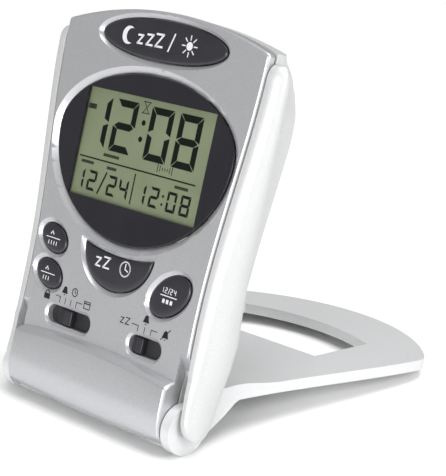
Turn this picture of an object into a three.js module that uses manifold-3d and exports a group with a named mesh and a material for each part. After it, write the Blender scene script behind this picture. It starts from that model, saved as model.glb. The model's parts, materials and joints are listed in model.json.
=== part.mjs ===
// Folding travel alarm clock, standing open: the clock leans back on its cover, which is folded round
// behind it as a stand. Millimetres, +Z up, front towards -Y, origin under the middle of the footprint.
//
// The clock's own parts are drawn in the clock frame: x across, y up the face, z out of the face, with
// the hinge axis along x through the origin. One group leans that frame back and sets it on the table.
import * as THREE from 'three';
import { mergeVertices } from 'three/addons/utils/BufferGeometryUtils.js';
import Module from 'manifold-3d';

const wasm = await Module();
wasm.setup();

// ---------------------------------------------------------------- driving dimensions
const GAP = 0.3;                    // between pieces that touch
const LEAN = THREE.MathUtils.degToRad(17.4);

const HINGE_RADIUS = 6.2;           // round ears of the cover, which stand on the table
const PIN_RADIUS = 1.2;
const PIN_HOLE_RADIUS = 1.5;
const EAR_INNER = 28.8;             // the ears run from here...
const EAR_OUTER = 31.6;             // ...to here, each side of the middle

const FACE_Z = 4.4;                 // front face, measured out from the hinge axis
const FACE_WALL = 1.8;
const SHELL_WALL = 1.6;
const PARTING_Z = 1.6;              // plane where front and back shell meet
const TOP_CORNER_Y = 90.3;
const TOP_ARCH_Y = 95.8;
const WAIST_Y = 26;                 // the face is narrowest here
const WAIST_HALF = 30.9;
const TOP_HALF = 35.6;
const FOOT_FLARE = 1.4;

const COVER_WALL = 2.8;
const COVER_INNER_Z = FACE_Z + GAP;
const COVER_OUTER_Z = COVER_INNER_Z + COVER_WALL;
const COVER_LENGTH = 96.8;          // hinge axis to the middle of the far edge
const COVER_CORNER_Y = 77.5;
const COVER_CORNER_HALF = 40.6;
const COVER_CATCH_Z = 4;            // lip under the far edge, which closes over the case's top edge

const CHIN_HALF = 28.5;             // raised block between the cover's two arms
const CHIN_TOP_Y = 12.3;
const CHIN_ARCH = 1.6;
const CHIN_BOTTOM_Y = -5.9;

const CHEEK_INNER = 31.9;           // inside of a rail's lower end, outboard of the cover's ear
const RAIL_TOP_Y = 88.4;
const RAIL_TIP_Y = -2.2;
const RAIL_FRONT_Z = 3.9;

const LENS = { half: 31.2, widestY: 63.6, topY: 80, bottomY: 37.8 };
const LENS_BEVEL = 2;
const LEDGE_Z = 3.1;                // the lens rests on this ledge...
const LENS_TOP_Z = 3.9;             // ...and its outside is a little below the face
const LCD = { half: 25.5, bottomY: 44.6, topY: 76.6 };
const BOARD_TOP_Z = -0.2;
const BOARD_THICK = 1;

const SNOOZE = { x: 0, y: 88.6, a: 22.1, b: 5.1, tilt: 0 };
const HOUR = { x: -24.3, y: 34.4, a: 5.2, b: 3.4, tilt: -18 };
const MINUTE = { x: -23.6, y: 25.3, a: 5.2, b: 3.4, tilt: -18 };
const YEAR = { x: 20.4, y: 29.6, a: 7.2, b: 4.5, tilt: 35 };
const NAP = { half: 12.4, topY: 36.2, bottomY: 26.2 };
const BUTTON_TOP_Z = 4.3;
const BUTTON_BOTTOM_Z = 1.5;
const BUTTON_GAP = 0.3;
const FLANGE = 0.4;

const SLOT_Y = 16;
const SLOT_HALF_HEIGHT = 2.3;
const MODE = { x: -12.8, half: 8.2, knobX: -14.3, knobHalf: 2.6, plateLeft: 11, plateRight: 12.7 };
const ALARM = { x: 15.7, half: 5.7, knobX: 13, knobHalf: 2, plateLeft: 8, plateRight: 8.6 };

const BATTERY_RADIUS = 5.2;
const BATTERY_LENGTH = 44.5;
const BATTERY_Z = -7.8;
const BATTERY_Y = [42, 53.4];
const DOOR = { half: 27, bottomY: 35.2, topY: 60.4, wall: 1.2 };

const CASE_SCREWS = [[-26, 83.5], [26, 83.5], [-19, 6.5], [19, 6.5]];
const BOARD_SCREWS = [[-12, 80.8], [12, 80.8], [7.5, 21.4]];

// ---------------------------------------------------------------- materials
const plastic = (color, roughness) => new THREE.MeshStandardMaterial({ color, roughness, metalness: 0 });
const metal = (color, roughness) => new THREE.MeshStandardMaterial({ color, roughness, metalness: 1 });
const SILVER = plastic(0xb6b8bc, 0.38);
const RAIL_SILVER = plastic(0xdcdee0, 0.3);
const DARK = plastic(0x3a383d, 0.35);
const SMOKE = plastic(0x34323a, 0.08);
const GLASS = plastic(0x8c9173, 0.1);
const WHITE = plastic(0xe8e8e2, 0.4);
const AMBER = plastic(0xe0c070, 0.3);
const SILICONE = plastic(0x9aa0a4, 0.7);
const BOARD = plastic(0x2c6a3c, 0.5);
const EPOXY = plastic(0x151515, 0.3);
const CELL = plastic(0x355c8c, 0.35);
const RED = plastic(0xb03028, 0.5);
const BLACK = plastic(0x202020, 0.5);
const STEEL = metal(0xb8bbc0, 0.3);
const NICKEL = metal(0xc8c6bc, 0.25);
const BRASS = metal(0xc8a552, 0.3);

// ---------------------------------------------------------------- solids and meshes
function solid(geometry) {
  const bare = geometry.clone();
  bare.deleteAttribute('normal');
  bare.deleteAttribute('uv');
  const merged = mergeVertices(bare, 1e-4);
  return new wasm.Manifold(new wasm.Mesh({
    numProp: 3,
    vertProperties: new Float32Array(merged.attributes.position.array),
    triVerts: new Uint32Array(merged.index.array),
  }));
}

function toMesh(name, made, material) {
  const data = made.getMesh();
  const geometry = new THREE.BufferGeometry();
  geometry.setAttribute('position', new THREE.BufferAttribute(data.vertProperties, 3));
  geometry.setIndex(new THREE.BufferAttribute(data.triVerts, 1));
  geometry.computeVertexNormals();
  const mesh = new THREE.Mesh(geometry, material);
  mesh.name = name;
  return mesh;
}

const join = (first, ...others) => others.reduce((sum, piece) => sum.add(piece), first);
const cut = (first, ...others) => others.reduce((rest, piece) => rest.subtract(piece), first);

function box(x0, x1, y0, y1, z0, z1) {
  const geometry = new THREE.BoxGeometry(x1 - x0, y1 - y0, z1 - z0);
  return solid(geometry.translate((x0 + x1) / 2, (y0 + y1) / 2, (z0 + z1) / 2));
}

// A cylinder along x, y or z between two places on that axis, through the point given.
function rod(axis, radius, from, to, [px, py, pz], sides = 20) {
  const geometry = new THREE.CylinderGeometry(radius, radius, to - from, sides);
  if (axis === 'x') geometry.rotateZ(-Math.PI / 2);
  if (axis === 'z') geometry.rotateX(Math.PI / 2);
  const middle = (from + to) / 2;
  const centre = { x: [middle, py, pz], y: [px, middle, pz], z: [px, py, middle] }[axis];
  return solid(geometry.translate(...centre));
}

// A flat outline in the x-y plane, given thickness along z.
function prism(shape, z0, z1, curveSegments = 12) {
  const geometry = new THREE.ExtrudeGeometry(shape, { depth: z1 - z0, bevelEnabled: false, curveSegments });
  return solid(geometry.translate(0, 0, z0));
}

// The same with its mouth opened out by a bevel that reaches the front face.
function bevelledCut(shape, width, depth, curveSegments = 12) {
  const geometry = new THREE.ExtrudeGeometry(shape, {
    depth: 1, bevelThickness: depth, bevelSize: width, bevelSegments: 1, curveSegments,
  });
  return solid(geometry.translate(0, 0, FACE_Z));
}

// A side-view outline (shape x is up the face, shape y is out of the face), given width along x.
function sidePrism(shape, x0, x1, curveSegments = 8) {
  const geometry = new THREE.ExtrudeGeometry(shape, { depth: x1 - x0, bevelEnabled: false, curveSegments });
  const axes = new THREE.Matrix4().makeBasis(
    new THREE.Vector3(0, 1, 0), new THREE.Vector3(0, 0, 1), new THREE.Vector3(1, 0, 0));
  return solid(geometry.applyMatrix4(axes).translate(x0, 0, 0));
}

// A skin over a row of closed rings with equal numbers of points, with a flat cap at each end.
function loft(rings) {
  const count = rings[0].length;
  const positions = [];
  const centre = (ring) => ring.reduce((sum, p) => sum.add(p), new THREE.Vector3()).divideScalar(count);
  rings.forEach((ring) => ring.forEach((p) => positions.push(p.x, p.y, p.z)));
  const first = centre(rings[0]);
  const last = centre(rings[rings.length - 1]);
  positions.push(first.x, first.y, first.z, last.x, last.y, last.z);
  const firstCentre = rings.length * count;
  const lastCentre = firstCentre + 1;
  const lastRing = (rings.length - 1) * count;
  const index = [];
  for (let i = 0; i < count; i++) {
    const next = (i + 1) % count;
    for (let r = 0; r < rings.length - 1; r++) {
      const low = r * count;
      const high = low + count;
      index.push(low + i, low + next, high + next, low + i, high + next, high + i);
    }
    index.push(firstCentre, next, i, lastCentre, lastRing + i, lastRing + next);
  }
  const geometry = new THREE.BufferGeometry();
  geometry.setAttribute('position', new THREE.Float32BufferAttribute(positions, 3));
  geometry.setIndex(index);
  const made = solid(geometry);
  if (made.volume() > 0) return made;
  geometry.setIndex(index.reverse());
  return solid(geometry);
}

const spread = (from, to, steps) => Array.from({ length: steps + 1 }, (_, i) => from + (to - from) * i / steps);

function ellipse({ x, y, a, b, tilt }, grow = 0) {
  const shape = new THREE.Shape();
  shape.absellipse(x, y, a + grow, b + grow, 0, 2 * Math.PI, false, THREE.MathUtils.degToRad(tilt));
  return shape;
}

function stadium(x, y, half, radius) {
  const shape = new THREE.Shape();
  shape.absarc(x + half - radius, y, radius, -Math.PI / 2, Math.PI / 2);
  shape.absarc(x - half + radius, y, radius, Math.PI / 2, Math.PI * 1.5);
  return shape;
}

// ---------------------------------------------------------------- outline of the case
function halfWidth(y) {
  if (y < WAIST_Y) return WAIST_HALF + FOOT_FLARE * ((WAIST_Y - y) / WAIST_Y) ** 2;
  const t = Math.min(1, (y - WAIST_Y) / (TOP_CORNER_Y - WAIST_Y));
  return WAIST_HALF + (TOP_HALF - WAIST_HALF) * (1 - Math.cos(Math.PI * t)) / 2;
}

function archRadius(half, rise) {
  return (half * half + rise * rise) / (2 * rise);
}

// The face seen from the front: bowed sides and an arched top, drawn smaller by inset.
function faceOutline(inset, bottomY, steps = 10, topInset = inset) {
  const corner = TOP_CORNER_Y - topInset;
  const half = TOP_HALF - inset;
  const rise = TOP_ARCH_Y - TOP_CORNER_Y;
  const radius = archRadius(half, rise);
  const swing = Math.asin(half / radius);
  const right = spread(bottomY, corner, steps).map((y) => new THREE.Vector2(halfWidth(y) - inset, y));
  right[right.length - 1].x = half;
  const shape = new THREE.Shape(right);
  shape.absarc(0, corner + rise - radius, radius, Math.PI / 2 - swing, Math.PI / 2 + swing);
  right.reverse().forEach((p) => shape.lineTo(-p.x, p.y));
  return shape;
}

function lensOutline(grow = 0) {
  const shape = new THREE.Shape();
  const half = LENS.half + grow;
  shape.absellipse(0, LENS.widestY, half, LENS.topY - LENS.widestY + grow, 0, Math.PI);
  shape.absellipse(0, LENS.widestY, half, LENS.widestY - LENS.bottomY + grow, Math.PI, 2 * Math.PI);
  return shape;
}

// The nap button's outline: a round-bottomed tab whose top edge follows the lens above it.
function napOutline(grow = 0) {
  const half = NAP.half + grow;
  const sag = 1.5;
  const topRadius = archRadius(half, sag);
  const topSwing = Math.asin(half / topRadius);
  const top = NAP.topY + grow;
  const shape = new THREE.Shape();
  shape.absarc(0, top + topRadius - sag, topRadius, -Math.PI / 2 - topSwing, -Math.PI / 2 + topSwing);
  shape.absellipse(0, top, half, top - NAP.bottomY + grow, 0, -Math.PI, true);
  return shape;
}

// ---------------------------------------------------------------- chin block between the arms
// One slice of the chin seen from the side; inset makes the hollow inside it.
function chinSlice(x, inset) {
  const bow = (x / CHIN_HALF) ** 2;
  const top = CHIN_TOP_Y - CHIN_ARCH * bow - inset;
  const bottom = CHIN_BOTTOM_Y + 0.9 * bow + inset;
  const front = COVER_OUTER_Z - inset;
  const face = FACE_Z - inset;
  const floorZ = PARTING_Z + (inset ? -1 : 0.15);
  const tail = top + (inset ? 5 : 2);
  return [
    [tail, floorZ], [tail, face - 0.2], [top, face], [top - 0.7, front - 1.4], [top - 1.3, front - 0.4],
    [top - 2, front], [1, front],
    [-2.9, front - 1.3], [bottom + 0.9, front - 3.6], [bottom, floorZ],
  ].map(([y, z]) => new THREE.Vector3(x, y, z));
}

function chin(inset) {
  const half = CHIN_HALF - inset;
  return loft(spread(-half, half, 8).map((x) => chinSlice(x, inset)));
}

// Room for the cover's arms at both lower corners: everything below this line, outboard of the chin.
function armRoom() {
  const shape = new THREE.Shape();
  [[18.2, 4.9], [18.2, 14], [-14, 14], [-14, -20], [12.6, -20], [9.6, -5], [9.6, -1.4]]
    .forEach(([y, z], i) => (i ? shape.lineTo(y, z) : shape.moveTo(y, z)));
  return [sidePrism(shape, CHIN_HALF, 45), sidePrism(shape, -45, -CHIN_HALF)];
}

// ---------------------------------------------------------------- front shell
function buttonShapes(grow) {
  return [SNOOZE, HOUR, MINUTE, YEAR].map((button) => ellipse(button, grow)).concat([napOutline(grow)]);
}

function frontShell() {
  const skirtZ = PARTING_Z + 0.15;
  let made = prism(faceOutline(0, 9), skirtZ, FACE_Z, 24);
  made = made.subtract(prism(faceOutline(SHELL_WALL, 9 + SHELL_WALL), skirtZ - 1, FACE_Z - FACE_WALL, 24));
  made = join(made, chin(0)).subtract(chin(SHELL_WALL));
  made = cut(made, ...armRoom());
  // lens opening with a ledge behind it and a sloping ring in front
  made = cut(made, prism(lensOutline(BUTTON_GAP), LEDGE_Z, FACE_Z + 1, 28), prism(lensOutline(-1.4), 0, 4, 28));
  made = made.subtract(bevelledCut(lensOutline(BUTTON_GAP), LENS_BEVEL, 0.8, 28));
  buttonShapes(BUTTON_GAP).forEach((shape) => {
    made = cut(made, prism(shape, 0, FACE_Z + 1, 18), bevelledCut(shape, 0.7, 0.6, 18));
  });
  [MODE, ALARM].forEach(({ x, half }) => {
    const slot = stadium(x, SLOT_Y, half, SLOT_HALF_HEIGHT);
    made = cut(made, prism(slot, 0, FACE_Z + 1, 8), bevelledCut(slot, 0.4, 0.4, 8));
  });
  // slit in the top edge for the cover's catch
  made = made.subtract(box(-3.9, 3.9, TOP_ARCH_Y - 1.2, TOP_ARCH_Y + 1, 2.7, 3.7));
  CASE_SCREWS.forEach(([x, y]) => {
    const roof = y > 50 ? FACE_Z - FACE_WALL : COVER_OUTER_Z - SHELL_WALL;
    const boss = rod('z', 2.2, -2.6, roof + 0.2, [x, y, 0], 16);
    made = made.add(boss).subtract(rod('z', 1.05, -3.6, 1.2, [x, y, 0], 12));
  });
  BOARD_SCREWS.forEach(([x, y]) => {
    const post = rod('z', 1.7, BOARD_TOP_Z + GAP, FACE_Z - FACE_WALL + 0.2, [x, y, 0], 12);
    made = made.add(post).subtract(rod('z', 0.8, BOARD_TOP_Z - 1, 1.9, [x, y, 0], 10));
  });
  return toMesh('front_shell', made, SILVER);
}

// ---------------------------------------------------------------- back shell
const BACK_DEPTH = new THREE.SplineCurve([
  [-5.6, 2.2], [-4, 5.4], [0, 8], [5, 9], [9.3, 9.2], [13, 11.2], [20, 13], [32, 14.4], [50, 14.6],
  [72, 14.4], [84, 13], [90, 10.4], [95.6, 3],
].map(([y, z]) => new THREE.Vector2(y, z)));

// Depth of the back behind the hinge axis at a height on the case.
function backDepth(y) {
  let low = 0;
  let high = 1;
  for (let i = 0; i < 24; i++) {
    const middle = (low + high) / 2;
    if (BACK_DEPTH.getPoint(middle).x < y) low = middle;
    else high = middle;
  }
  return BACK_DEPTH.getPoint(low).y;
}

function sideFlare(y) {
  return 1.9 * THREE.MathUtils.clamp((94 - y) / 14, 0, 1) * THREE.MathUtils.clamp((y - 2) / 14, 0, 1);
}

// The side of the case leans outwards behind the parting plane.
function sideAt(y, z) {
  return halfWidth(y) + sideFlare(y) * THREE.MathUtils.clamp((PARTING_Z - z) / 6, 0, 1);
}

// A ring round the back. Near the top the rings sink towards both sides, as the arched top edge does.
function backSlice(y, inset) {
  const depth = Math.max(backDepth(y) - inset, 0.6);
  const corner = Math.min(10, depth * 0.85);
  const wide = sideAt(y, corner - depth) - inset;
  const rim = PARTING_Z + (inset ? 0.5 : -0.15);
  const sink = (TOP_ARCH_Y - TOP_CORNER_Y) * THREE.MathUtils.clamp((y - 66) / 28, 0, 1);
  const flank = spread(rim, corner - depth, 2).slice(0, 2).map((z) => [sideAt(y, z) - inset, z]);
  const quarter = spread(0, Math.PI / 2, 5).map((t) => [
    wide - corner * (1 - Math.cos(t)), -depth + corner * (1 - Math.sin(t)),
  ]);
  const across = [0.75, 0.5, 0.25, 0];
  const right = [...flank, ...quarter, ...across.map((share) => [(wide - corner) * share, -depth])];
  const rimRight = across.slice(0, 3).map((share) => [flank[0][0] * share, rim]);
  const left = right.slice(0, -1).map(([x, z]) => [-x, z]).reverse();
  const rimLeft = rimRight.map(([x, z]) => [-x, z]);
  const ring = [...right, ...left, ...rimLeft, [0, rim], ...rimRight.reverse()];
  return ring.map(([x, z]) => new THREE.Vector3(x, y - sink * (x / TOP_HALF) ** 2, z));
}

function backBody(inset) {
  const rows = [...spread(CHIN_BOTTOM_Y + 0.3, 9.3, 5), 11.5, 14, 20, 28, 38, 50, 62, 70, 76, 81, 86, 89.5, 92.5, 95.6, 99.5];
  const low = rows[0] + inset;
  const high = rows[rows.length - 1] - inset;
  return loft(rows.map((y) => backSlice(THREE.MathUtils.clamp(y, low, high) + (y - 45) * 1e-4, inset)));
}

function backShell() {
  const { half, bottomY, topY } = DOOR;
  const hollow = prism(faceOutline(SHELL_WALL - 2.5, -10, 10, SHELL_WALL + 0.2), -20, PARTING_Z + 2, 24);
  let made = backBody(0).subtract(backBody(SHELL_WALL).intersect(hollow));
  made = made.intersect(prism(faceOutline(-2.5, -10, 10, 0.2), -20, PARTING_Z + 1, 24).add(
    box(-EAR_INNER, EAR_INNER, -12, 12, -20, PARTING_Z + 1)));
  // battery tub, open at the back
  made = made.add(box(-half - 1.2, half + 1.2, bottomY - 1.2, topY + 1.2, -13.6, -1.6)
    .intersect(backBody(0.4)));
  made = made.subtract(box(-half + 0.6, half - 0.6, bottomY + 0.8, topY - 0.8, -20, -2.4));
  made = made.subtract(box(-half - GAP, half + GAP, bottomY - GAP, topY + GAP, -20, -13.1));
  // bosses that hold the hinge pins, and walls that close the sides beside the cover's arms
  const bossShape = new THREE.Shape();
  bossShape.absarc(0, 0, 4.2, 0, 2 * Math.PI);
  [-1, 1].forEach((side) => {
    const inner = side > 0 ? 23.5 : -CHIN_HALF;
    const outer = side > 0 ? CHIN_HALF : -23.5;
    const wallInner = side > 0 ? CHIN_HALF - SHELL_WALL : -CHIN_HALF;
    const wallOuter = side > 0 ? CHIN_HALF : -CHIN_HALF + SHELL_WALL;
    const nose = backBody(0.05).intersect(box(wallInner, wallOuter, -8, 13, -20, PARTING_Z - 0.2));
    made = join(made, sidePrism(bossShape, inner, outer, 16).intersect(
      box(-40, 40, -6, 6, -20, PARTING_Z - 0.2)), nose);
  });
  made = cut(made, ...armRoom());
  made = made.subtract(rod('x', PIN_HOLE_RADIUS, -40, 40, [0, 0, 0], 16)
    .subtract(box(-23.6, 23.6, -4, 4, -4, 4)));
  CASE_SCREWS.forEach(([x, y]) => {
    const floorZ = y > 50 ? -7 : -4.6;
    const sleeve = rod('z', 2.9, -12, -2.9, [x, y, 0], 16).intersect(backBody(0.3));
    made = made.add(sleeve).subtract(rod('z', 2.15, -20, floorZ, [x, y, 0], 16));
    made = made.subtract(rod('z', 1.15, -20, -2, [x, y, 0], 12));
  });
  // sound holes over the buzzer
  [[12, 72], [8, 72], [16, 72], [12, 68], [12, 76]].forEach(([x, y]) => {
    made = made.subtract(rod('z', 0.8, -20, -11, [x, y, 0], 8));
  });
  return toMesh('back_shell', made, SILVER);
}

// ---------------------------------------------------------------- side rails
function railSlice(y, side) {
  const nearTop = THREE.MathUtils.clamp((RAIL_TOP_Y - y) / 3.4, 0, 1);
  const nearTip = THREE.MathUtils.clamp((y - RAIL_TIP_Y) / 5.2, 0, 1);
  const round = Math.sqrt(Math.max(0.004, 1 - (1 - nearTop) ** 2)) * Math.sqrt(Math.max(0.004, 1 - (1 - nearTip) ** 2));
  const rearZ = -1.2 - 6.5 * THREE.MathUtils.clamp((80 - y) / 58, 0, 1) + 2.6 * (1 - Math.min(1, Math.max(0, y) / 22));
  const middle = (RAIL_FRONT_Z + rearZ) / 2;
  const front = middle + (RAIL_FRONT_Z - middle) * round;
  const rear = middle + (rearZ - middle) * round;
  const cheek = CHEEK_INNER * THREE.MathUtils.clamp((18 - y) / 4, 0, 1);
  const seat = (z) => Math.max(sideAt(y, z) + GAP + 0.1, cheek);
  const bulge = 2.1 + THREE.MathUtils.clamp((y - 8) / 14, 0, 1);
  const outside = spread(0, Math.PI, 6).map((t) => [
    THREE.MathUtils.lerp(seat(front), seat(rear), t / Math.PI) + 0.9 + bulge * Math.sin(t) * (0.4 + 0.6 * round),
    front + (rear - front) * (1 - Math.cos(t)) / 2,
  ]);
  const inside = spread(rear, front, 5).map((z) => [seat(z), z]);
  return [...outside, ...inside].map(([x, z]) => new THREE.Vector3(side * x, y, z));
}

function rail(side) {
  const tip = [0, 0.3, 1.1, 2.3, 4.1].map((step) => RAIL_TIP_Y + step);
  const rows = [...tip, 4, 7, 10, 14, 18, 26, 36, 48, 60, 72, 80, 84, 86, 87.4, 88.1, RAIL_TOP_Y];
  let made = loft(rows.map((y) => railSlice(y, side)));
  const from = side > 0 ? 20 : -34.2;
  made = made.subtract(rod('x', PIN_HOLE_RADIUS, from, from + 14.2, [0, 0, 0], 16));
  return toMesh(side > 0 ? 'side_rail_right' : 'side_rail_left', made, RAIL_SILVER);
}

// ---------------------------------------------------------------- buttons, pads and switches
function button(name, outline) {
  const cap = prism(outline(0), BUTTON_BOTTOM_Z, BUTTON_TOP_Z - 0.4, 18);
  const crown = new THREE.ExtrudeGeometry(outline(-0.5), {
    depth: 0.1, bevelThickness: 0.4, bevelSize: 0.5, bevelSegments: 1, curveSegments: 18,
  });
  const room = prism(faceOutline(SHELL_WALL + 0.7, WAIST_Y - 14), 0, FACE_Z);
  const flange = prism(outline(BUTTON_GAP + FLANGE), BUTTON_BOTTOM_Z, BUTTON_BOTTOM_Z + 0.8, 18).intersect(room);
  const made = join(cap, solid(crown.translate(0, 0, BUTTON_TOP_Z - 0.5)), flange);
  return toMesh(name, made, DARK);
}

function keypad() {
  const low = BOARD_TOP_Z + GAP;
  const high = 0.9;
  const made = join(
    box(-29, -19, 20.8, 38.6, low, high), box(-20, 26.5, 27, 34, low, high), box(-10, 10, 24.6, 36, low, high),
    rod('z', 2.4, low, high, [HOUR.x, HOUR.y, 0], 16), rod('z', 3, low, high, [YEAR.x, YEAR.y, 0], 16));
  return toMesh('keypad', made, SILICONE);
}

function slider(name, { knobX, knobHalf, plateLeft, plateRight }) {
  const plate = box(knobX - plateLeft, knobX + plateRight, SLOT_Y - 2.8, SLOT_Y + 2.8, 1.3, 2.3);
  const low = box(knobX - knobHalf, knobX + knobHalf, SLOT_Y - 1.8, SLOT_Y + 1.8, 2.2, 3.5);
  const grip = box(knobX - 0.2, knobX + knobHalf, SLOT_Y - 1.8, SLOT_Y + 1.8, 3.3, 4.1);
  return toMesh(name, join(plate, low, grip), DARK);
}

function wiper(name, knobX) {
  const low = BOARD_TOP_Z + GAP;
  const made = join(
    box(knobX - 3, knobX + 3, SLOT_Y - 1.8, SLOT_Y + 1.8, 0.7, 1),
    box(knobX - 3, knobX - 2.2, SLOT_Y - 1.8, SLOT_Y - 0.6, low, 0.8),
    box(knobX + 2.2, knobX + 3, SLOT_Y + 0.6, SLOT_Y + 1.8, low, 0.8));
  return toMesh(name, made, BRASS);
}

// ---------------------------------------------------------------- display stack and circuit board
function displayParts() {
  const { half, bottomY, topY } = LCD;
  const frame = box(-half - 2.4, half + 2.4, bottomY - 2.2, topY + 2, BOARD_TOP_Z + GAP, 2.3)
    .subtract(box(-half - GAP, half + GAP, bottomY - GAP, topY + GAP, -2, 4));
  return [
    toMesh('lens', prism(lensOutline(0), LEDGE_Z + 0.1, LENS_TOP_Z, 28), SMOKE),
    toMesh('lcd_panel', box(-half, half, bottomY, topY, 1.2, 2.3), GLASS),
    toMesh('lcd_frame', frame, WHITE),
    toMesh('light_guide', box(-22, 22, bottomY + 3, topY - 5.2, 0.1, 1), WHITE),
    toMesh('backlight_led', box(-1.6, 1.6, topY - 4.9, topY - 3.4, 0.1, 1), AMBER),
    toMesh('zebra_strip', box(-21, 21, bottomY + 0.3, bottomY + 2.2, 0.1, 1), SILICONE),
  ];
}

function boardParts() {
  const low = BOARD_TOP_Z - BOARD_THICK;
  const outline = new THREE.Shape();
  [[-28, 14], [27.5, 14], [28, 80], [15, 80], [15, 91], [-15, 91], [-15, 80], [-28, 80]]
    .forEach(([x, y], i) => (i ? outline.lineTo(x, y) : outline.moveTo(x, y)));
  let board = prism(outline, low, BOARD_TOP_Z);
  BOARD_SCREWS.forEach(([x, y]) => {
    board = board.subtract(rod('z', 1.2, low - 1, BOARD_TOP_Z + 1, [x, y, 0], 12));
  });
  const blob = new THREE.SphereGeometry(5, 20, 10).scale(1, 1, 0.36).translate(-12, 70, low);
  const blobBody = solid(blob).intersect(box(-20, 0, 60, 80, -6, low - 0.15));
  const crystal = join(rod('y', 1, 64, 70, [2, 0, low - 1.3], 14), box(1.4, 2.6, 63, 64.2, low - 1.5, low - 0.2));
  return [
    toMesh('circuit_board', board, BOARD),
    toMesh('chip_blob', blobBody, EPOXY),
    toMesh('quartz_crystal', crystal, STEEL),
    toMesh('buzzer_disc', rod('z', 6.5, -12.1, -11.2, [12, 72, 0], 24), BRASS),
  ];
}

// ---------------------------------------------------------------- batteries and their contacts
function battery(name, y, tip) {
  const half = BATTERY_LENGTH / 2;
  const can = rod('x', BATTERY_RADIUS, -half + (tip < 0 ? 0.9 : 0), half - (tip > 0 ? 0.9 : 0), [0, y, BATTERY_Z], 24);
  const nub = rod('x', 1.8, tip > 0 ? half - 1 : -half, tip > 0 ? half : -half + 1, [0, y, BATTERY_Z], 12);
  return toMesh(name, can.add(nub), CELL);
}

function coil(name, x, y, side) {
  const wire = 0.3;
  const turns = 3;
  const length = 2.5;
  const points = spread(0, 1, turns * 8).map((t) => {
    const angle = t * turns * 2 * Math.PI;
    const radius = 3.4 - 1.4 * t;
    return new THREE.Vector3(x + side * length * t, y + radius * Math.cos(angle), BATTERY_Z + radius * Math.sin(angle));
  });
  const section = new THREE.Shape();
  section.absarc(0, 0, wire, 0, 2 * Math.PI);
  const geometry = new THREE.ExtrudeGeometry(section, {
    steps: turns * 12, extrudePath: new THREE.CatmullRomCurve3(points), curveSegments: 3, bevelEnabled: false,
  });
  return toMesh(name, solid(geometry), NICKEL);
}

function contactPlate(name, x, y0, y1) {
  const made = join(
    box(x - 0.2, x + 0.2, y0, y1, BATTERY_Z - 4, -2.8),
    box(x - 0.2, x + 0.2, (y0 + y1) / 2 - 1.2, (y0 + y1) / 2 + 1.2, BATTERY_Z - 4.6, BATTERY_Z));
  return toMesh(name, made, NICKEL);
}

function powerParts() {
  const end = BATTERY_LENGTH / 2;
  const [lowY, highY] = BATTERY_Y;
  return [
    battery('battery_lower', lowY, 1),
    battery('battery_upper', highY, -1),
    contactPlate('contact_positive', end + 0.6, lowY - 4.4, lowY + 4.4),
    contactPlate('contact_negative', end + 3.6, highY - 4.4, highY + 4.4),
    contactPlate('contact_link', -end - 3.6, lowY - 4.4, highY + 4.4),
    coil('spring_negative', end + 3, highY, -1),
    coil('spring_link', -end - 3, lowY, 1),
  ];
}

function batteryDoor() {
  const { half, bottomY, topY, wall } = DOOR;
  const made = backBody(0).subtract(backBody(wall)).intersect(box(-half, half, bottomY, topY, -20, -9))
    .intersect(box(-half, half, bottomY, topY, -20, -13.2));
  const grips = [2.4, 4, 5.6].map((drop) => box(-6, 6, topY - drop - 0.4, topY - drop + 0.4, -20, -14.1));
  return toMesh('battery_door', cut(made, ...grips), SILVER);
}

// ---------------------------------------------------------------- wires
function wire(name, points, material) {
  const section = new THREE.Shape();
  section.absarc(0, 0, 0.45, 0, 2 * Math.PI);
  const path = new THREE.CatmullRomCurve3(points.map((p) => new THREE.Vector3(...p)));
  const geometry = new THREE.ExtrudeGeometry(section, {
    steps: 14, extrudePath: path, curveSegments: 3, bevelEnabled: false,
  });
  return toMesh(name, solid(geometry), material);
}

function wires() {
  const boardZ = BOARD_TOP_Z - BOARD_THICK - 0.8;
  return [
    wire('wire_buzzer_red', [[12.5, 76, -10.6], [12, 79, -8], [9, 80, -4.4], [6, 78, boardZ]], RED),
    wire('wire_buzzer_black', [[10, 67, -10.6], [8, 65.4, -8], [6, 66, -4.4], [6, 69, boardZ]], BLACK),
    wire('wire_battery_red', [[27.2, 33.2, -6], [25, 32.4, -5], [20, 31.6, -3.6], [14, 31, boardZ]], RED),
    wire('wire_battery_black', [[22, 62.6, -8], [20, 64, -6], [20, 67, -4], [20, 70, boardZ]], BLACK),
  ];
}

// ---------------------------------------------------------------- screws and pins
function caseScrew([x, y], number) {
  const headZ = y > 50 ? -7 : -4.6;
  const head = rod('z', 1.85, headZ - 1.2, headZ - 0.15, [x, y, 0], 16);
  const shank = rod('z', 0.85, headZ - 0.3, 0.9, [x, y, 0], 10);
  const slot = box(x - 1.3, x + 1.3, y - 0.2, y + 0.2, headZ - 2, headZ - 0.8);
  const cross = box(x - 0.2, x + 0.2, y - 1.3, y + 1.3, headZ - 2, headZ - 0.8);
  return toMesh(`case_screw_${number}`, cut(head.add(shank), slot, cross), STEEL);
}

function boardScrew([x, y], number) {
  const under = BOARD_TOP_Z - BOARD_THICK;
  const head = rod('z', 1.6, under - 1, under - 0.15, [x, y, 0], 14);
  const shank = rod('z', 0.6, under - 0.3, 1.7, [x, y, 0], 8);
  return toMesh(`board_screw_${number}`, head.add(shank), STEEL);
}

function hingePin(side) {
  const inner = side > 0 ? 24 : -34;
  const made = rod('x', PIN_RADIUS, inner, inner + 10, [0, 0, 0], 16);
  return toMesh(side > 0 ? 'hinge_pin_right' : 'hinge_pin_left', made, STEEL);
}

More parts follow.
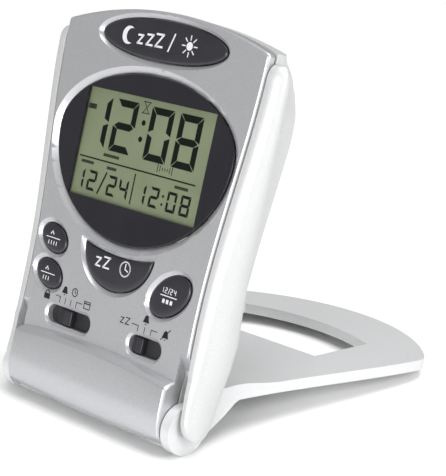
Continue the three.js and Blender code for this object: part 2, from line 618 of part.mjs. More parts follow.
// ---------------------------------------------------------------- cover, drawn closed over the face
function coverOutline() {
  const rise = COVER_LENGTH - COVER_CORNER_Y;
  const radius = archRadius(COVER_CORNER_HALF, rise);
  const swing = Math.asin(COVER_CORNER_HALF / radius);
  const hingeRise = 1.6;
  const hingeRadius = archRadius(EAR_INNER, hingeRise);
  const hingeSwing = Math.asin(EAR_INNER / hingeRadius);
  const edge = CHIN_TOP_Y + 0.7;
  const shape = new THREE.Shape();
  shape.moveTo(EAR_OUTER, edge - hingeRise);
  const corner = new THREE.Vector2(COVER_CORNER_HALF, COVER_CORNER_Y);
  shape.bezierCurveTo(EAR_OUTER + 0.3, 32, corner.x - 1.2, 58, corner.x - 0.1, corner.y - 3);
  shape.quadraticCurveTo(corner.x, corner.y, radius * Math.sin(swing * 0.95), COVER_LENGTH - radius * (1 - Math.cos(swing * 0.95)));
  shape.absarc(0, COVER_LENGTH - radius, radius, Math.PI / 2 - swing * 0.95, Math.PI / 2 + swing * 0.95);
  shape.quadraticCurveTo(-corner.x, corner.y, -corner.x + 0.1, corner.y - 3);
  shape.bezierCurveTo(-corner.x + 1.2, 58, -EAR_OUTER - 0.3, 32, -EAR_OUTER, edge - hingeRise);
  shape.lineTo(-EAR_INNER, edge - hingeRise);
  shape.absarc(0, edge - hingeRadius, hingeRadius, Math.PI / 2 + hingeSwing, Math.PI / 2 - hingeSwing, true);
  return shape;
}

const WINDOW = { half: 23, bottomY: 53.5, cornerY: 74.5, archY: 79.5 };

function windowOutline() {
  const { half, bottomY, cornerY, archY } = WINDOW;
  const radius = archRadius(half, archY - cornerY);
  const swing = Math.asin(half / radius);
  const shape = new THREE.Shape();
  shape.moveTo(-half, bottomY);
  shape.lineTo(half, bottomY);
  shape.absarc(0, archY - radius, radius, Math.PI / 2 - swing, Math.PI / 2 + swing);
  return shape;
}

// Outside of the cover in side view: a low swelling near the hinge, then flat to the far edge.
function coverCrest(shape) {
  shape.splineThru([[29, COVER_OUTER_Z], [24, COVER_OUTER_Z + 0.4], [18, COVER_OUTER_Z + 1.1], [12, COVER_OUTER_Z + 1]].map(([y, z]) => new THREE.Vector2(y, z)));
}

function cover() {
  const plate = new THREE.Shape();
  plate.moveTo(COVER_LENGTH + 2, COVER_OUTER_Z);
  plate.lineTo(34, COVER_OUTER_Z);
  coverCrest(plate);
  plate.lineTo(6, COVER_OUTER_Z);
  plate.lineTo(6, COVER_INNER_Z);
  plate.lineTo(COVER_LENGTH + 2, COVER_INNER_Z);
  let made = sidePrism(plate, -45, 45).intersect(prism(coverOutline(), -2, 12, 20));
  made = made.subtract(prism(windowOutline(), 0, 12, 12));

  const arm = new THREE.Shape();
  arm.moveTo(34, COVER_OUTER_Z);
  coverCrest(arm);
  arm.lineTo(6, 7.6);
  arm.absarc(0, 0, HINGE_RADIUS, Math.PI * 0.42, Math.PI * 1.86);
  arm.lineTo(8.5, -0.8);
  arm.lineTo(12.2, 1.4);
  arm.lineTo(15.5, 3.9);
  arm.lineTo(17.4, COVER_INNER_Z);
  arm.lineTo(34, COVER_INNER_Z);
  made = join(made, sidePrism(arm, EAR_INNER, EAR_OUTER, 20), sidePrism(arm, -EAR_OUTER, -EAR_INNER, 20));
  made = made.subtract(rod('x', PIN_HOLE_RADIUS, -40, 40, [0, 0, 0], 16));
  // low catch on the inside of the far edge
  made = made.add(box(-3.5, 3.5, TOP_ARCH_Y + 0.3, COVER_LENGTH - 0.15, COVER_CATCH_Z, COVER_INNER_Z + 0.2));
  return toMesh('cover', made, SILVER);
}

// ---------------------------------------------------------------- assembly
const clock = new THREE.Group();
clock.rotation.x = Math.PI / 2 - LEAN;
clock.position.z = HINGE_RADIUS;
clock.add(frontShell(), backShell(), rail(-1), rail(1), keypad());
clock.add(button('snooze_button', (grow) => ellipse(SNOOZE, grow)));
clock.add(button('hour_button', (grow) => ellipse(HOUR, grow)));
clock.add(button('minute_button', (grow) => ellipse(MINUTE, grow)));
clock.add(button('year_button', (grow) => ellipse(YEAR, grow)));
clock.add(button('nap_button', napOutline));
clock.add(toMesh('snooze_pad', box(-14, 14, 85.6, 90.6, BOARD_TOP_Z + GAP, 0.9), SILICONE));
clock.add(slider('mode_slider', MODE), slider('alarm_slider', ALARM));
clock.add(wiper('mode_wiper', MODE.knobX), wiper('alarm_wiper', ALARM.knobX));
clock.add(...displayParts(), ...boardParts(), ...powerParts(), batteryDoor(), ...wires());
clock.add(...CASE_SCREWS.map((place, i) => caseScrew(place, i + 1)));
clock.add(...BOARD_SCREWS.map((place, i) => boardScrew(place, i + 1)));
clock.add(hingePin(-1), hingePin(1));

// The cover turns about the hinge until the catch on its far edge rests on the table.
const catchReach = Math.hypot(COVER_LENGTH - 0.15, COVER_CATCH_Z);
const slope = Math.asin(HINGE_RADIUS / catchReach) + Math.atan2(COVER_CATCH_Z, COVER_LENGTH - 0.15);
const stand = new THREE.Group();
stand.rotation.x = -slope;
stand.position.z = HINGE_RADIUS;
stand.add(cover());

const root = new THREE.Group();
root.add(clock, stand);
root.updateMatrixWorld(true);
const reach = new THREE.Box3().setFromObject(root, true);
root.position.set(0, -(reach.min.y + reach.max.y) / 2, -reach.min.z);

export default root;
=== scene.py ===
# Folding travel alarm clock, standing open on its cover.
# The clock's pieces are drawn in millimetres in the clock frame (x across, y up the face, z out of the
# face, hinge axis through the origin) and turned into the part's frame, in metres. The cover is drawn
# the same way, closed over the face, and turned by its own angle.
import json
import math
from functools import partial

import bmesh
import bpy
from mathutils import Matrix, Vector


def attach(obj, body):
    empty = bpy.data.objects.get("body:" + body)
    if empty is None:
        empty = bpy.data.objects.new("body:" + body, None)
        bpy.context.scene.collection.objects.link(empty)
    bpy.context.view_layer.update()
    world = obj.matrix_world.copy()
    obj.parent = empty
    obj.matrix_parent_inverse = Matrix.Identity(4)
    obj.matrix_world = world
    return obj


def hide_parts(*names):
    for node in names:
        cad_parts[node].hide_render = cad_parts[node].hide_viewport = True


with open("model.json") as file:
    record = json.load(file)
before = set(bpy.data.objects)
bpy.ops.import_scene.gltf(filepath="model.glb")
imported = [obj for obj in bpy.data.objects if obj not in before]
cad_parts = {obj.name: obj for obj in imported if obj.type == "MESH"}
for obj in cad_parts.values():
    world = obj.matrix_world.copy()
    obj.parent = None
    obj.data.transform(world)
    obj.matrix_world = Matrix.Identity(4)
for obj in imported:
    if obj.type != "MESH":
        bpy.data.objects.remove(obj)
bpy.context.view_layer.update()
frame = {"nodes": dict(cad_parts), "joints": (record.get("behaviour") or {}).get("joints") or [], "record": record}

# ------------------------------------------------------------ dimensions, in millimetres
GAP = 0.3
FACE_Z = 4.4
PARTING_Z = 1.6
TOP_CORNER_Y = 90.3
TOP_ARCH_Y = 95.8
TOP_RISE = TOP_ARCH_Y - TOP_CORNER_Y
WAIST_Y = 26
WAIST_HALF = 30.9
TOP_HALF = 35.6
FOOT_FLARE = 1.4
SIDE_FLARE = {"most": 1.9, "from_y": 2, "to_y": 94, "ease": 14, "depth": 6}
HINGE_RADIUS = 6.2
EAR_INNER = 28.8
EAR_OUTER = 31.6
COVER_INNER_Z = 4.7
COVER_OUTER_Z = 7.5
COVER_LENGTH = 96.8
CATCH_Z = 4.0
CATCH_REACH = COVER_LENGTH - 0.15
COVER_CORNER_Y = 77.5
COVER_CORNER_HALF = 40.6
CHIN_HALF = 28.5
CHIN_TOP_Y = 12.3
CHIN_ARCH = 1.6
CHIN_BOTTOM_Y = -5.9
CHEEK_INNER = 31.9
RAIL_TOP_Y = 88.4
RAIL_TIP_Y = -2.2
RAIL_FRONT_Z = 3.9
LENS = {"half": 31.2, "widest_y": 63.6, "top_y": 80, "bottom_y": 37.8}
LENS_TOP_Z = 3.9
SNOOZE = {"x": 0, "y": 88.6, "a": 22.1, "b": 5.1, "tilt": 0}
HOUR = {"x": -24.3, "y": 34.4, "a": 5.2, "b": 3.4, "tilt": -18}
MINUTE = {"x": -23.6, "y": 25.3, "a": 5.2, "b": 3.4, "tilt": -18}
YEAR = {"x": 20.4, "y": 29.6, "a": 7.2, "b": 4.5, "tilt": 35}
NAP = {"half": 12.4, "top_y": 36.2, "bottom_y": 26.2, "sag": 1.5}
BUTTON_TOP_Z = 4.3
BUTTON_BOTTOM_Z = 1.5
SLOT_Y = 16
SLOT_HALF_HEIGHT = 2.3
MODE = {"x": -12.8, "half": 8.2, "knob_x": -14.3, "knob_half": 2.6, "left": 11, "right": 12.7}
ALARM = {"x": 15.7, "half": 5.7, "knob_x": 13, "knob_half": 2, "left": 8, "right": 8.6}
WINDOW = {"half": 23, "bottom_y": 53.5, "corner_y": 74.5, "arch_y": 79.5}
SCREEN = {"half": 23.1, "bottom_y": 46.9, "top_y": 74.3}
SCREEN_Z = 2.75
INK = 0.03
MILLIMETRE = 0.001

# ------------------------------------------------------------ frames of the clock and of the cover
JOINTS = {joint["name"]: joint for joint in frame["joints"]}
HINGE = Vector(JOINTS["cover_hinge"]["pos_m"])
PRESS_AXIS = JOINTS["snooze_press"]["axis"]
LEAN = math.atan2(-PRESS_AXIS[2], PRESS_AXIS[1])
SLOPE = math.asin(HINGE_RADIUS / math.hypot(CATCH_REACH, CATCH_Z)) + math.atan2(CATCH_Z, CATCH_REACH)
TO_METRES = Matrix.Scale(MILLIMETRE, 4)
CLOCK = Matrix.Translation(HINGE) @ Matrix.Rotation(math.pi / 2 - LEAN, 4, "X") @ TO_METRES
STAND = Matrix.Translation(HINGE) @ Matrix.Rotation(-SLOPE, 4, "X") @ TO_METRES


def spread(start, end, steps):
    return [start + (end - start) * i / steps for i in range(steps + 1)]


def clamp(value, low=0.0, high=1.0):
    return max(low, min(high, value))


# ------------------------------------------------------------ outlines
def arc(cx, cy, rx, ry, start, end, steps):
    return [(cx + rx * math.cos(t), cy + ry * math.sin(t)) for t in spread(start, end, steps)]


def ellipse(place, grow=0.0, steps=72):
    turn = math.radians(place["tilt"])
    points = []
    for u, v in arc(0, 0, place["a"] + grow, place["b"] + grow, 0, 2 * math.pi, steps)[:-1]:
        x = place["x"] + u * math.cos(turn) - v * math.sin(turn)
        y = place["y"] + u * math.sin(turn) + v * math.cos(turn)
        points.append((x, y))
    return points


def arch_radius(half, rise):
    return (half * half + rise * rise) / (2 * rise)


def half_width(y):
    """Half the width of the face: narrow at the waist, wider towards the top and the foot."""
    if y < WAIST_Y:
        return WAIST_HALF + FOOT_FLARE * ((WAIST_Y - y) / WAIST_Y) ** 2
    t = clamp((y - WAIST_Y) / (TOP_CORNER_Y - WAIST_Y))
    return WAIST_HALF + (TOP_HALF - WAIST_HALF) * (1 - math.cos(math.pi * t)) / 2


def side_flare(y):
    below_top = clamp((SIDE_FLARE["to_y"] - y) / SIDE_FLARE["ease"])
    above_foot = clamp((y - SIDE_FLARE["from_y"]) / SIDE_FLARE["ease"])
    return SIDE_FLARE["most"] * below_top * above_foot


def side_at(y, z):
    """Half the width of the case, which swells behind the parting line."""
    return half_width(y) + side_flare(y) * clamp((PARTING_Z - z) / SIDE_FLARE["depth"])


def face_outline(inset, bottom_y, steps=40, top_inset=None):
    corner = TOP_CORNER_Y - (inset if top_inset is None else top_inset)
    half = TOP_HALF - inset
    radius = arch_radius(half, TOP_RISE)
    swing = math.asin(half / radius)
    right = [(half_width(y) - inset, y) for y in spread(bottom_y, corner, steps)][:-1]
    centre = corner + TOP_RISE - radius
    top = arc(0, centre, radius, radius, math.pi / 2 - swing, math.pi / 2 + swing, steps)
    left = [(-x, y) for x, y in reversed(right)]
    return right + top + left


def lens_outline(grow=0.0, steps=48):
    half = LENS["half"] + grow
    upper = LENS["top_y"] - LENS["widest_y"] + grow
    lower = LENS["widest_y"] - LENS["bottom_y"] + grow
    top = arc(0, LENS["widest_y"], half, upper, 0, math.pi, steps)[:-1]
    return top + arc(0, LENS["widest_y"], half, lower, math.pi, 2 * math.pi, steps)[:-1]


def nap_outline(grow=0.0):
    half = NAP["half"] + grow
    radius = arch_radius(half, NAP["sag"])
    swing = math.asin(half / radius)
    top = NAP["top_y"] + grow
    middle = -math.pi / 2
    upper = arc(0, top + radius - NAP["sag"], radius, radius, middle - swing, middle + swing, 20)
    lower = arc(0, top, half, top - NAP["bottom_y"] + grow, 0, -math.pi, 40)[1:-1]
    return upper + lower


def stadium(place, grow=0.0):
    radius = SLOT_HALF_HEIGHT + grow
    reach = place["half"] + grow - radius
    right = arc(place["x"] + reach, SLOT_Y, radius, radius, -math.pi / 2, math.pi / 2, 16)
    left = arc(place["x"] - reach, SLOT_Y, radius, radius, math.pi / 2, math.pi * 1.5, 16)
    return right + left


def rectangle(x0, x1, y0, y1):
    return [(x0, y0), (x1, y0), (x1, y1), (x0, y1)]


# ------------------------------------------------------------ meshes
def finish_mesh(name, mesh, place):
    """A new object, moved into the part's frame, with its faces turned outwards."""
    work = bmesh.new()
    work.from_mesh(mesh)
    bmesh.ops.recalc_face_normals(work, faces=work.faces)
    work.to_mesh(mesh)
    work.free()
    mesh.transform(place)
    obj = bpy.data.objects.new(name, mesh)
    bpy.context.scene.collection.objects.link(obj)
    return obj


def loft(name, rings, place):
    """A skin over a row of closed rings of points, with a flat cap at each end."""
    count = len(rings[0])
    points = [point for ring in rings for point in ring]
    faces = [tuple(range(count)), tuple(range(len(points) - count, len(points)))]
    for r in range(len(rings) - 1):
        for i in range(count):
            j = (i + 1) % count
            faces.append((r * count + i, r * count + j, (r + 1) * count + j, (r + 1) * count + i))
    mesh = bpy.data.meshes.new(name)
    mesh.from_pydata(points, [], faces)
    return finish_mesh(name, mesh, place)


def prism(name, outline, z0, z1, place=CLOCK):
    return loft(name, [[(x, y, z) for x, y in outline] for z in (z0, z1)], place)


def stack(name, layers, place=CLOCK):
    """Outlines with equal numbers of points, each at its own height."""
    return loft(name, [[(x, y, z) for x, y in outline] for outline, z in layers], place)


def side_prism(name, outline, x0, x1, place=CLOCK):
    """A side-view outline of (y, z) points, given width along x."""
    return loft(name, [[(x, y, z) for y, z in outline] for x in (x0, x1)], place)


def settle(obj):
    """Applies the modifiers."""
    graph = bpy.context.evaluated_depsgraph_get()
    made = bpy.data.meshes.new_from_object(obj.evaluated_get(graph))
    obj.modifiers.clear()
    obj.data = made
    return obj


def combine(obj, others, operation):
    for other in others:
        change = obj.modifiers.new(operation, "BOOLEAN")
        change.operation = operation
        change.solver = "EXACT"
        change.object = other
        settle(obj)
        bpy.data.objects.remove(other)
    return obj


def cut(obj, *others):
    return combine(obj, others, "DIFFERENCE")


def join(obj, *others):
    return combine(obj, others, "UNION")


FLAT_FACE_WEIGHT = 80


def soften(obj, width, segments=3, angle=32):
    """Rounds the sharp edges by a width in millimetres and shades the rest smooth."""
    if width:
        bevel = obj.modifiers.new("edges", "BEVEL")
        bevel.width = width * MILLIMETRE
        bevel.segments = segments
        bevel.limit_method = "ANGLE"
        bevel.angle_limit = math.radians(angle)
        bevel.harden_normals = False
        bevel.use_clamp_overlap = True
        settle(obj)
    obj.data.shade_smooth()
    obj.data.set_sharp_from_angle(angle=math.radians(angle))
    weigh = obj.modifiers.new("normals", "WEIGHTED_NORMAL")
    weigh.keep_sharp = True
    weigh.weight = FLAT_FACE_WEIGHT
    settle(obj)
    return obj


def place_piece(obj, body, material, replaces=()):
    obj.data.materials.clear()
    obj.data.materials.append(material)
    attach(obj, body)
    if replaces:
        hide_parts(*replaces)
    return obj


# ------------------------------------------------------------ materials
def new_material(name):
    material = bpy.data.materials.new(name)
    material.use_nodes = True
    nodes = material.node_tree.nodes
    return material, nodes, material.node_tree.links, nodes["Principled BSDF"]


def noise(nodes, links, scale, detail=2.0, roughness=0.5):
    place = nodes.new("ShaderNodeTexCoord")
    made = nodes.new("ShaderNodeTexNoise")
    made.inputs["Scale"].default_value = scale
    made.inputs["Detail"].default_value = detail
    made.inputs["Roughness"].default_value = roughness
    links.new(place.outputs["Object"], made.inputs["Vector"])
    return made.outputs["Fac"]


def ramp(nodes, links, source, stops):
    made = nodes.new("ShaderNodeValToRGB")
    links.new(source, made.inputs["Fac"])
    first, last = made.color_ramp.elements
    for element, (position, colour) in ((first, stops[0]), (last, stops[-1])):
        element.position = position
        element.color = (*colour, 1)
    return made.outputs["Color"]


def span(nodes, links, source, low, high):
    made = nodes.new("ShaderNodeMapRange")
    made.inputs["To Min"].default_value = low
    made.inputs["To Max"].default_value = high
    links.new(source, made.inputs["Value"])
    return made.outputs["Result"]


def bump(nodes, links, source, strength, distance):
    made = nodes.new("ShaderNodeBump")
    made.inputs["Strength"].default_value = strength
    made.inputs["Distance"].default_value = distance
    links.new(source, made.inputs["Height"])
    return made.outputs["Normal"]


SPARKLE = {"scale": 4200, "strength": 0.05, "height": 0.00002}
PAINT_DRIFT_SCALE = 60
PLASTIC_DRIFT_SCALE = 90
GRAIN_HEIGHT = 0.00003
INK_SCALE = 900


def tones(dark, light):
    return [(0.3, dark), (0.7, light)]


def painted(name, dark, light, metallic, rough, coat):
    """Silver paint on moulded plastic: a fine metallic sparkle under a thin clear coat."""
    material, nodes, links, shader = new_material(name)
    sparkle = noise(nodes, links, SPARKLE["scale"], detail=1.0)
    drift = noise(nodes, links, PAINT_DRIFT_SCALE, detail=3.0)
    links.new(ramp(nodes, links, sparkle, tones(dark, light)), shader.inputs["Base Color"])
    links.new(span(nodes, links, drift, *rough), shader.inputs["Roughness"])
    normal = bump(nodes, links, sparkle, SPARKLE["strength"], SPARKLE["height"])
    links.new(normal, shader.inputs["Normal"])
    shader.inputs["Metallic"].default_value = metallic
    shader.inputs["Coat Weight"].default_value = coat
    shader.inputs["Coat Roughness"].default_value = 0.18
    return material


def moulded(name, dark, light, rough, grain=2600, strength=0.08):
    """Moulded plastic or rubber with a fine texture and slight variation in tone."""
    material, nodes, links, shader = new_material(name)
    texture = noise(nodes, links, grain, detail=2.0)
    drift = noise(nodes, links, PLASTIC_DRIFT_SCALE, detail=3.0)
    links.new(ramp(nodes, links, drift, tones(dark, light)), shader.inputs["Base Color"])
    links.new(span(nodes, links, texture, *rough), shader.inputs["Roughness"])
    links.new(bump(nodes, links, texture, strength, GRAIN_HEIGHT), shader.inputs["Normal"])
    shader.inputs["IOR"].default_value = 1.5
    return material


def metallic(name, dark, light, rough, scale=700):
    """Bare sheet or wire metal, uneven in tone and polish."""
    material, nodes, links, shader = new_material(name)
    grain = noise(nodes, links, scale, detail=4.0)
    links.new(ramp(nodes, links, grain, tones(dark, light)), shader.inputs["Base Color"])
    links.new(span(nodes, links, grain, *rough), shader.inputs["Roughness"])
    shader.inputs["Metallic"].default_value = 1.0
    return material


def ink(name, colour, rough, shine):
    """Printed ink: flat in tone, with a slightly uneven film."""
    material, nodes, links, shader = new_material(name)
    film = noise(nodes, links, INK_SCALE, detail=3.0)
    low = tuple(c * 0.9 for c in colour)
    links.new(ramp(nodes, links, film, tones(low, colour)), shader.inputs["Base Color"])
    links.new(span(nodes, links, film, rough, rough + 0.1), shader.inputs["Roughness"])
    shader.inputs["Specular IOR Level"].default_value = shine
    return material


# each row: name, darkest and lightest tone, then metal share, roughness range and coat, or finish
SILVER = painted("silver_paint", (0.43, 0.435, 0.45), (0.51, 0.515, 0.53), 0.6, (0.32, 0.38), 0.1)
BRIGHT = painted("bright_silver_paint", (0.465, 0.47, 0.47), (0.525, 0.53, 0.53), 0.25, (0.42, 0.5), 0.05)
COVER_PAINT = painted("cover_paint", (0.55, 0.555, 0.56), (0.61, 0.615, 0.62), 0.25, (0.36, 0.44), 0.1)
CHARCOAL = moulded("charcoal_plastic", (0.016, 0.015, 0.019), (0.022, 0.021, 0.026), (0.28, 0.38))
# slider plates: the knobs' charcoal plastic made a little darker, as painted shade in the slots
SLOT_SHADE_PLASTIC = moulded("slider_plastic_painted_shade", (0.012, 0.012, 0.013), (0.018, 0.018, 0.02), (0.5, 0.6))
SMOKE = moulded("smoked_acrylic", (0.012, 0.011, 0.015), (0.015, 0.014, 0.018), (0.08, 0.12), strength=0.01)
SCREEN_GLASS = moulded(
    "display_glass", (0.135, 0.158, 0.094), (0.16, 0.183, 0.112), (0.3, 0.36), strength=0.01)
SEGMENT = ink("display_segment", (0.004, 0.005, 0.004), 0.4, 0.12)
FAINT = ink("display_small_print", (0.025, 0.03, 0.02), 0.4, 0.15)
WHITE_INK = ink("white_print", (0.6, 0.6, 0.62), 0.45, 0.5)
BLACK_INK = ink("black_print", (0.012, 0.012, 0.014), 0.5, 0.2)


# ------------------------------------------------------------ case
WIDE = 45
DEEP_Z = -20
FRONT_REAR_Z = PARTING_Z + 0.15
FACE_BOTTOM_Y = 9
ARM_ROOM = [(18.2, 4.9), (18.2, 14), (-14, 14), (-14, DEEP_Z), (12.6, DEEP_Z), (9.6, -5), (9.6, -1.4)]
LENS_RING = [(0.3, 3.25), (1.9, 4.4), (2.2, 4.65)]
BUTTON_DISH = [(0.3, 3.6), (0.5, 3.7), (0.9, 4.0), (1.5, 4.6)]
SWITCH_RIM = [(0, 3.8), (0.2, 3.95), (0.55, 4.2), (1.1, 4.8)]
CATCH_SLOT = {"half": 3.9, "below_arch": 1.2, "above_arch": 1, "rear_z": 2.7, "front_z": 3.7}
CHIN_LIFT = 0.9
CHIN_PROUD = 0.03


def arm_room(side):
    """Room beside the chin for one of the cover's arms."""
    ends = (CHIN_HALF, WIDE) if side > 0 else (-WIDE, -CHIN_HALF)
    return side_prism("room", ARM_ROOM, *ends)


def opening(outline, rim):
    """A cutter that goes straight down and opens out through a rim of (grow, height) steps."""
    first = rim[0][0]
    return stack("opening", [(outline(first), 0)] + [(outline(grow), z) for grow, z in rim])


def catch_slot():
    bottom_y = TOP_ARCH_Y - CATCH_SLOT["below_arch"]
    top_y = TOP_ARCH_Y + CATCH_SLOT["above_arch"]
    outline = rectangle(-CATCH_SLOT["half"], CATCH_SLOT["half"], bottom_y, top_y)
    return prism("slit", outline, CATCH_SLOT["rear_z"], CATCH_SLOT["front_z"])


def front_case():
    face = prism("case_front", face_outline(0, FACE_BOTTOM_Y), FRONT_REAR_Z, FACE_Z)
    soften(face, 0.8, segments=4, angle=50)
    cut(face, opening(lens_outline, LENS_RING))
    for place in (SNOOZE, HOUR, MINUTE, YEAR):
        cut(face, opening(partial(ellipse, place), BUTTON_DISH))
    cut(face, opening(nap_outline, BUTTON_DISH))
    for place in (MODE, ALARM):
        cut(face, opening(partial(stadium, place), SWITCH_RIM))
    cut(face, catch_slot(), arm_room(1), arm_room(-1))
    soften(face, 0, angle=28)
    place_piece(face, "case", SILVER, ["front_shell"])


def chin_ring(x):
    """The chin's section at one place across, from the face over its front and down under the hinge."""
    bow = (x / CHIN_HALF) ** 2
    top = CHIN_TOP_Y - CHIN_ARCH * bow
    bottom = CHIN_BOTTOM_Y + CHIN_LIFT * bow
    front = COVER_OUTER_Z
    outline = [
        (top + 0.1, FRONT_REAR_Z), (top + 0.1, FACE_Z), (top - 0.7, front - 1.4),
        (top - 1.3, front - 0.4), (top - 2.1, front), (3, front), (0, front - 0.3), (-2.9, front - 1.3),
        (bottom + 0.9, front - 3.6), (bottom, FRONT_REAR_Z),
    ]
    return [(x, y, z) for y, z in outline]


def chin():
    end = CHIN_HALF + CHIN_PROUD
    block = loft("chin_block", [chin_ring(x) for x in spread(-end, end, 40)], CLOCK)
    soften(block, 0.7, segments=4, angle=40)
    place_piece(block, "case", SILVER)


# ------------------------------------------------------------ rails
RAIL_ROUND = {"top": 3.4, "tip": 5.2, "least": 0.004}
RAIL_REAR = {"z": -1.2, "drop": 6.5, "drop_from_y": 80, "drop_over": 58, "foot_lift": 2.6, "foot_y": 22}
RAIL_CHEEK = {"top_y": 18, "ease": 4}
RAIL_BULGE = {"most": 2.1, "from_y": 8, "ease": 14, "flat_share": 0.4}
RAIL_EDGE = 0.9
RAIL_CLEARANCE = 0.1
RAIL_STRAIGHT = (2, 80)
RAIL_TOP_START = -1.2


def quarter_round(share):
    """Height of a quarter circle at a share of its length, never quite nothing."""
    return math.sqrt(max(RAIL_ROUND["least"], 1 - (1 - share) ** 2))


def rail_ring(y, side):
    near_top = clamp((RAIL_TOP_Y - y) / RAIL_ROUND["top"])
    near_tip = clamp((y - RAIL_TIP_Y) / RAIL_ROUND["tip"])
    rounding = quarter_round(near_top) * quarter_round(near_tip)
    drop = RAIL_REAR["drop"] * clamp((RAIL_REAR["drop_from_y"] - y) / RAIL_REAR["drop_over"])
    lift = RAIL_REAR["foot_lift"] * (1 - min(1, max(0, y) / RAIL_REAR["foot_y"]))
    rear_z = RAIL_REAR["z"] - drop + lift
    middle = (RAIL_FRONT_Z + rear_z) / 2
    front = middle + (RAIL_FRONT_Z - middle) * rounding
    rear = middle + (rear_z - middle) * rounding
    cheek = CHEEK_INNER * clamp((RAIL_CHEEK["top_y"] - y) / RAIL_CHEEK["ease"])

    def seat(z):
        return max(side_at(y, z) + GAP + RAIL_CLEARANCE, cheek)

    bulge = RAIL_BULGE["most"] + clamp((y - RAIL_BULGE["from_y"]) / RAIL_BULGE["ease"])
    flat = RAIL_BULGE["flat_share"]
    ring = []
    for t in spread(0, math.pi, 24):
        rim = seat(front) + (seat(rear) - seat(front)) * t / math.pi + RAIL_EDGE
        x = rim + bulge * math.sin(t) * (flat + (1 - flat) * rounding)
        ring.append((side * x, y, front + (rear - front) * (1 - math.cos(t)) / 2))
    ring += [(side * seat(z), y, z) for z in spread(rear, front, 8)]
    return ring


def side_rail(side):
    tip = RAIL_ROUND["tip"]
    top = RAIL_ROUND["top"]
    steps = [RAIL_TIP_Y + tip * (1 - math.cos(t)) for t in spread(0, math.pi / 2, 10)]
    steps += spread(*RAIL_STRAIGHT, 44)[1:]
    steps += [RAIL_TOP_Y - top + top * math.sin(t) for t in spread(RAIL_TOP_START, math.pi / 2, 14)]
    steps = sorted(set(round(y, 4) for y in steps))
    hand = "right" if side > 0 else "left"
    rail = loft("rail_" + hand, [rail_ring(y, side) for y in steps], CLOCK)
    soften(rail, 0.25, segments=2, angle=50)
    place_piece(rail, "case", BRIGHT, ["side_rail_" + hand])


# ------------------------------------------------------------ back of the case
# (y, depth) down the middle of the back, from under the hinge to the top edge
BACK_POINTS = [
    (-5.6, 2.2), (-4, 5.4), (0, 8), (5, 9), (9.3, 9.2), (13, 11.2), (20, 13),
    (32, 14.4), (50, 14.6), (72, 14.4), (84, 13), (90, 10.4), (95.6, 3),
]
BACK_CORNER = {"most": 10, "share": 0.85}
BACK_LEAST_DEPTH = 0.6
BACK_RIM_Z = PARTING_Z - 0.1
BACK_TOP_Y = 99.5
BACK_SINK = {"from_y": 66, "over": 28}
KEEP = {"grow": 2.5, "bottom_y": -10, "top_inset": 0.2, "front_z": PARTING_Z + 1, "barrel_y": 12}
DOOR = {"half": 27, "bottom_y": 35.2, "top_y": 60.4, "well_z": -13.0, "inner_z": -13.2, "proud": 0.02}
GRIP = {"half": 6, "rib_half": 0.4, "drops": (2.4, 4.0, 5.6), "z": -14.1}
SLEEVE = {"radius": 2.15, "upper_z": -7, "lower_z": -4.6}
SLEEVES = [(-26, 83.5, "upper_z"), (26, 83.5, "upper_z"), (-19, 6.5, "lower_z"), (19, 6.5, "lower_z")]
SOUND = {"radius": 0.8, "z": -12.4, "holes": ((12, 72), (8, 72), (16, 72), (12, 68), (12, 76))}


def catmull(p0, p1, p2, p3, t):
    v0 = (p2 - p0) / 2
    v1 = (p3 - p1) / 2
    return (2 * p1 - 2 * p2 + v0 + v1) * t ** 3 + (-3 * p1 + 3 * p2 - 2 * v0 - v1) * t ** 2 + v0 * t + p1


def smooth_curve(stops, steps):
    """A smooth curve through a row of points, without its last point."""
    points = []
    last = len(stops) - 1
    for i in range(last):
        four = [stops[j] for j in (max(i - 1, 0), i, i + 1, min(i + 2, last))]
        for t in spread(0, 1, steps)[:-1]:
            points.append(tuple(catmull(*(p[k] for p in four), t) for k in (0, 1)))
    return points


BACK_CURVE = smooth_curve(BACK_POINTS, 16) + [BACK_POINTS[-1]]


def back_depth(y):
    for (y0, d0), (y1, d1) in zip(BACK_CURVE, BACK_CURVE[1:]):
        if y0 <= y <= y1:
            return d0 + (d1 - d0) * (y - y0) / (y1 - y0)
    return BACK_POINTS[-1][1] if y > 0 else BACK_POINTS[0][1]


def back_ring(y, inset=0.0):
    """One ring round the back. Near the top the rings sink towards both sides, like the arched top edge."""
    depth = max(back_depth(y) - inset, BACK_LEAST_DEPTH)
    corner = min(BACK_CORNER["most"], depth * BACK_CORNER["share"])
    wide = side_at(y, corner - depth) - inset
    sink = TOP_RISE * clamp((y - BACK_SINK["from_y"]) / BACK_SINK["over"])
    right = [(side_at(y, z) - inset, z) for z in spread(BACK_RIM_Z, corner - depth, 6)[:-1]]
    for t in spread(0, math.pi / 2, 12):
        right.append((wide - corner * (1 - math.cos(t)), -depth + corner * (1 - math.sin(t))))
    right += [((wide - corner) * share, -depth) for share in spread(1, 0, 12)[1:-1]]
    left = [(-x, z) for x, z in reversed(right)]
    near = [(right[0][0] * share, BACK_RIM_Z) for share in spread(-1, 1, 24)[1:-1]]
    ring = right + [(0, -depth)] + left + near
    return [(x, y - sink * (x / TOP_HALF) ** 2, z) for x, z in ring]


def rod(name, radius, z0, z1, x, y, steps=32):
    return prism(name, arc(x, y, radius, radius, 0, 2 * math.pi, steps)[:-1], z0, z1)


def back_keep():
    """What the back may fill: the face's outline, and a plain barrel between the ears."""
    outline = face_outline(-KEEP["grow"], KEEP["bottom_y"], 40, KEEP["top_inset"])
    keep = prism("keep", outline, DEEP_Z, KEEP["front_z"])
    barrel = rectangle(-KEEP["barrel_y"], KEEP["barrel_y"], DEEP_Z, KEEP["front_z"])
    return join(keep, side_prism("keep", barrel, -EAR_INNER, EAR_INNER))


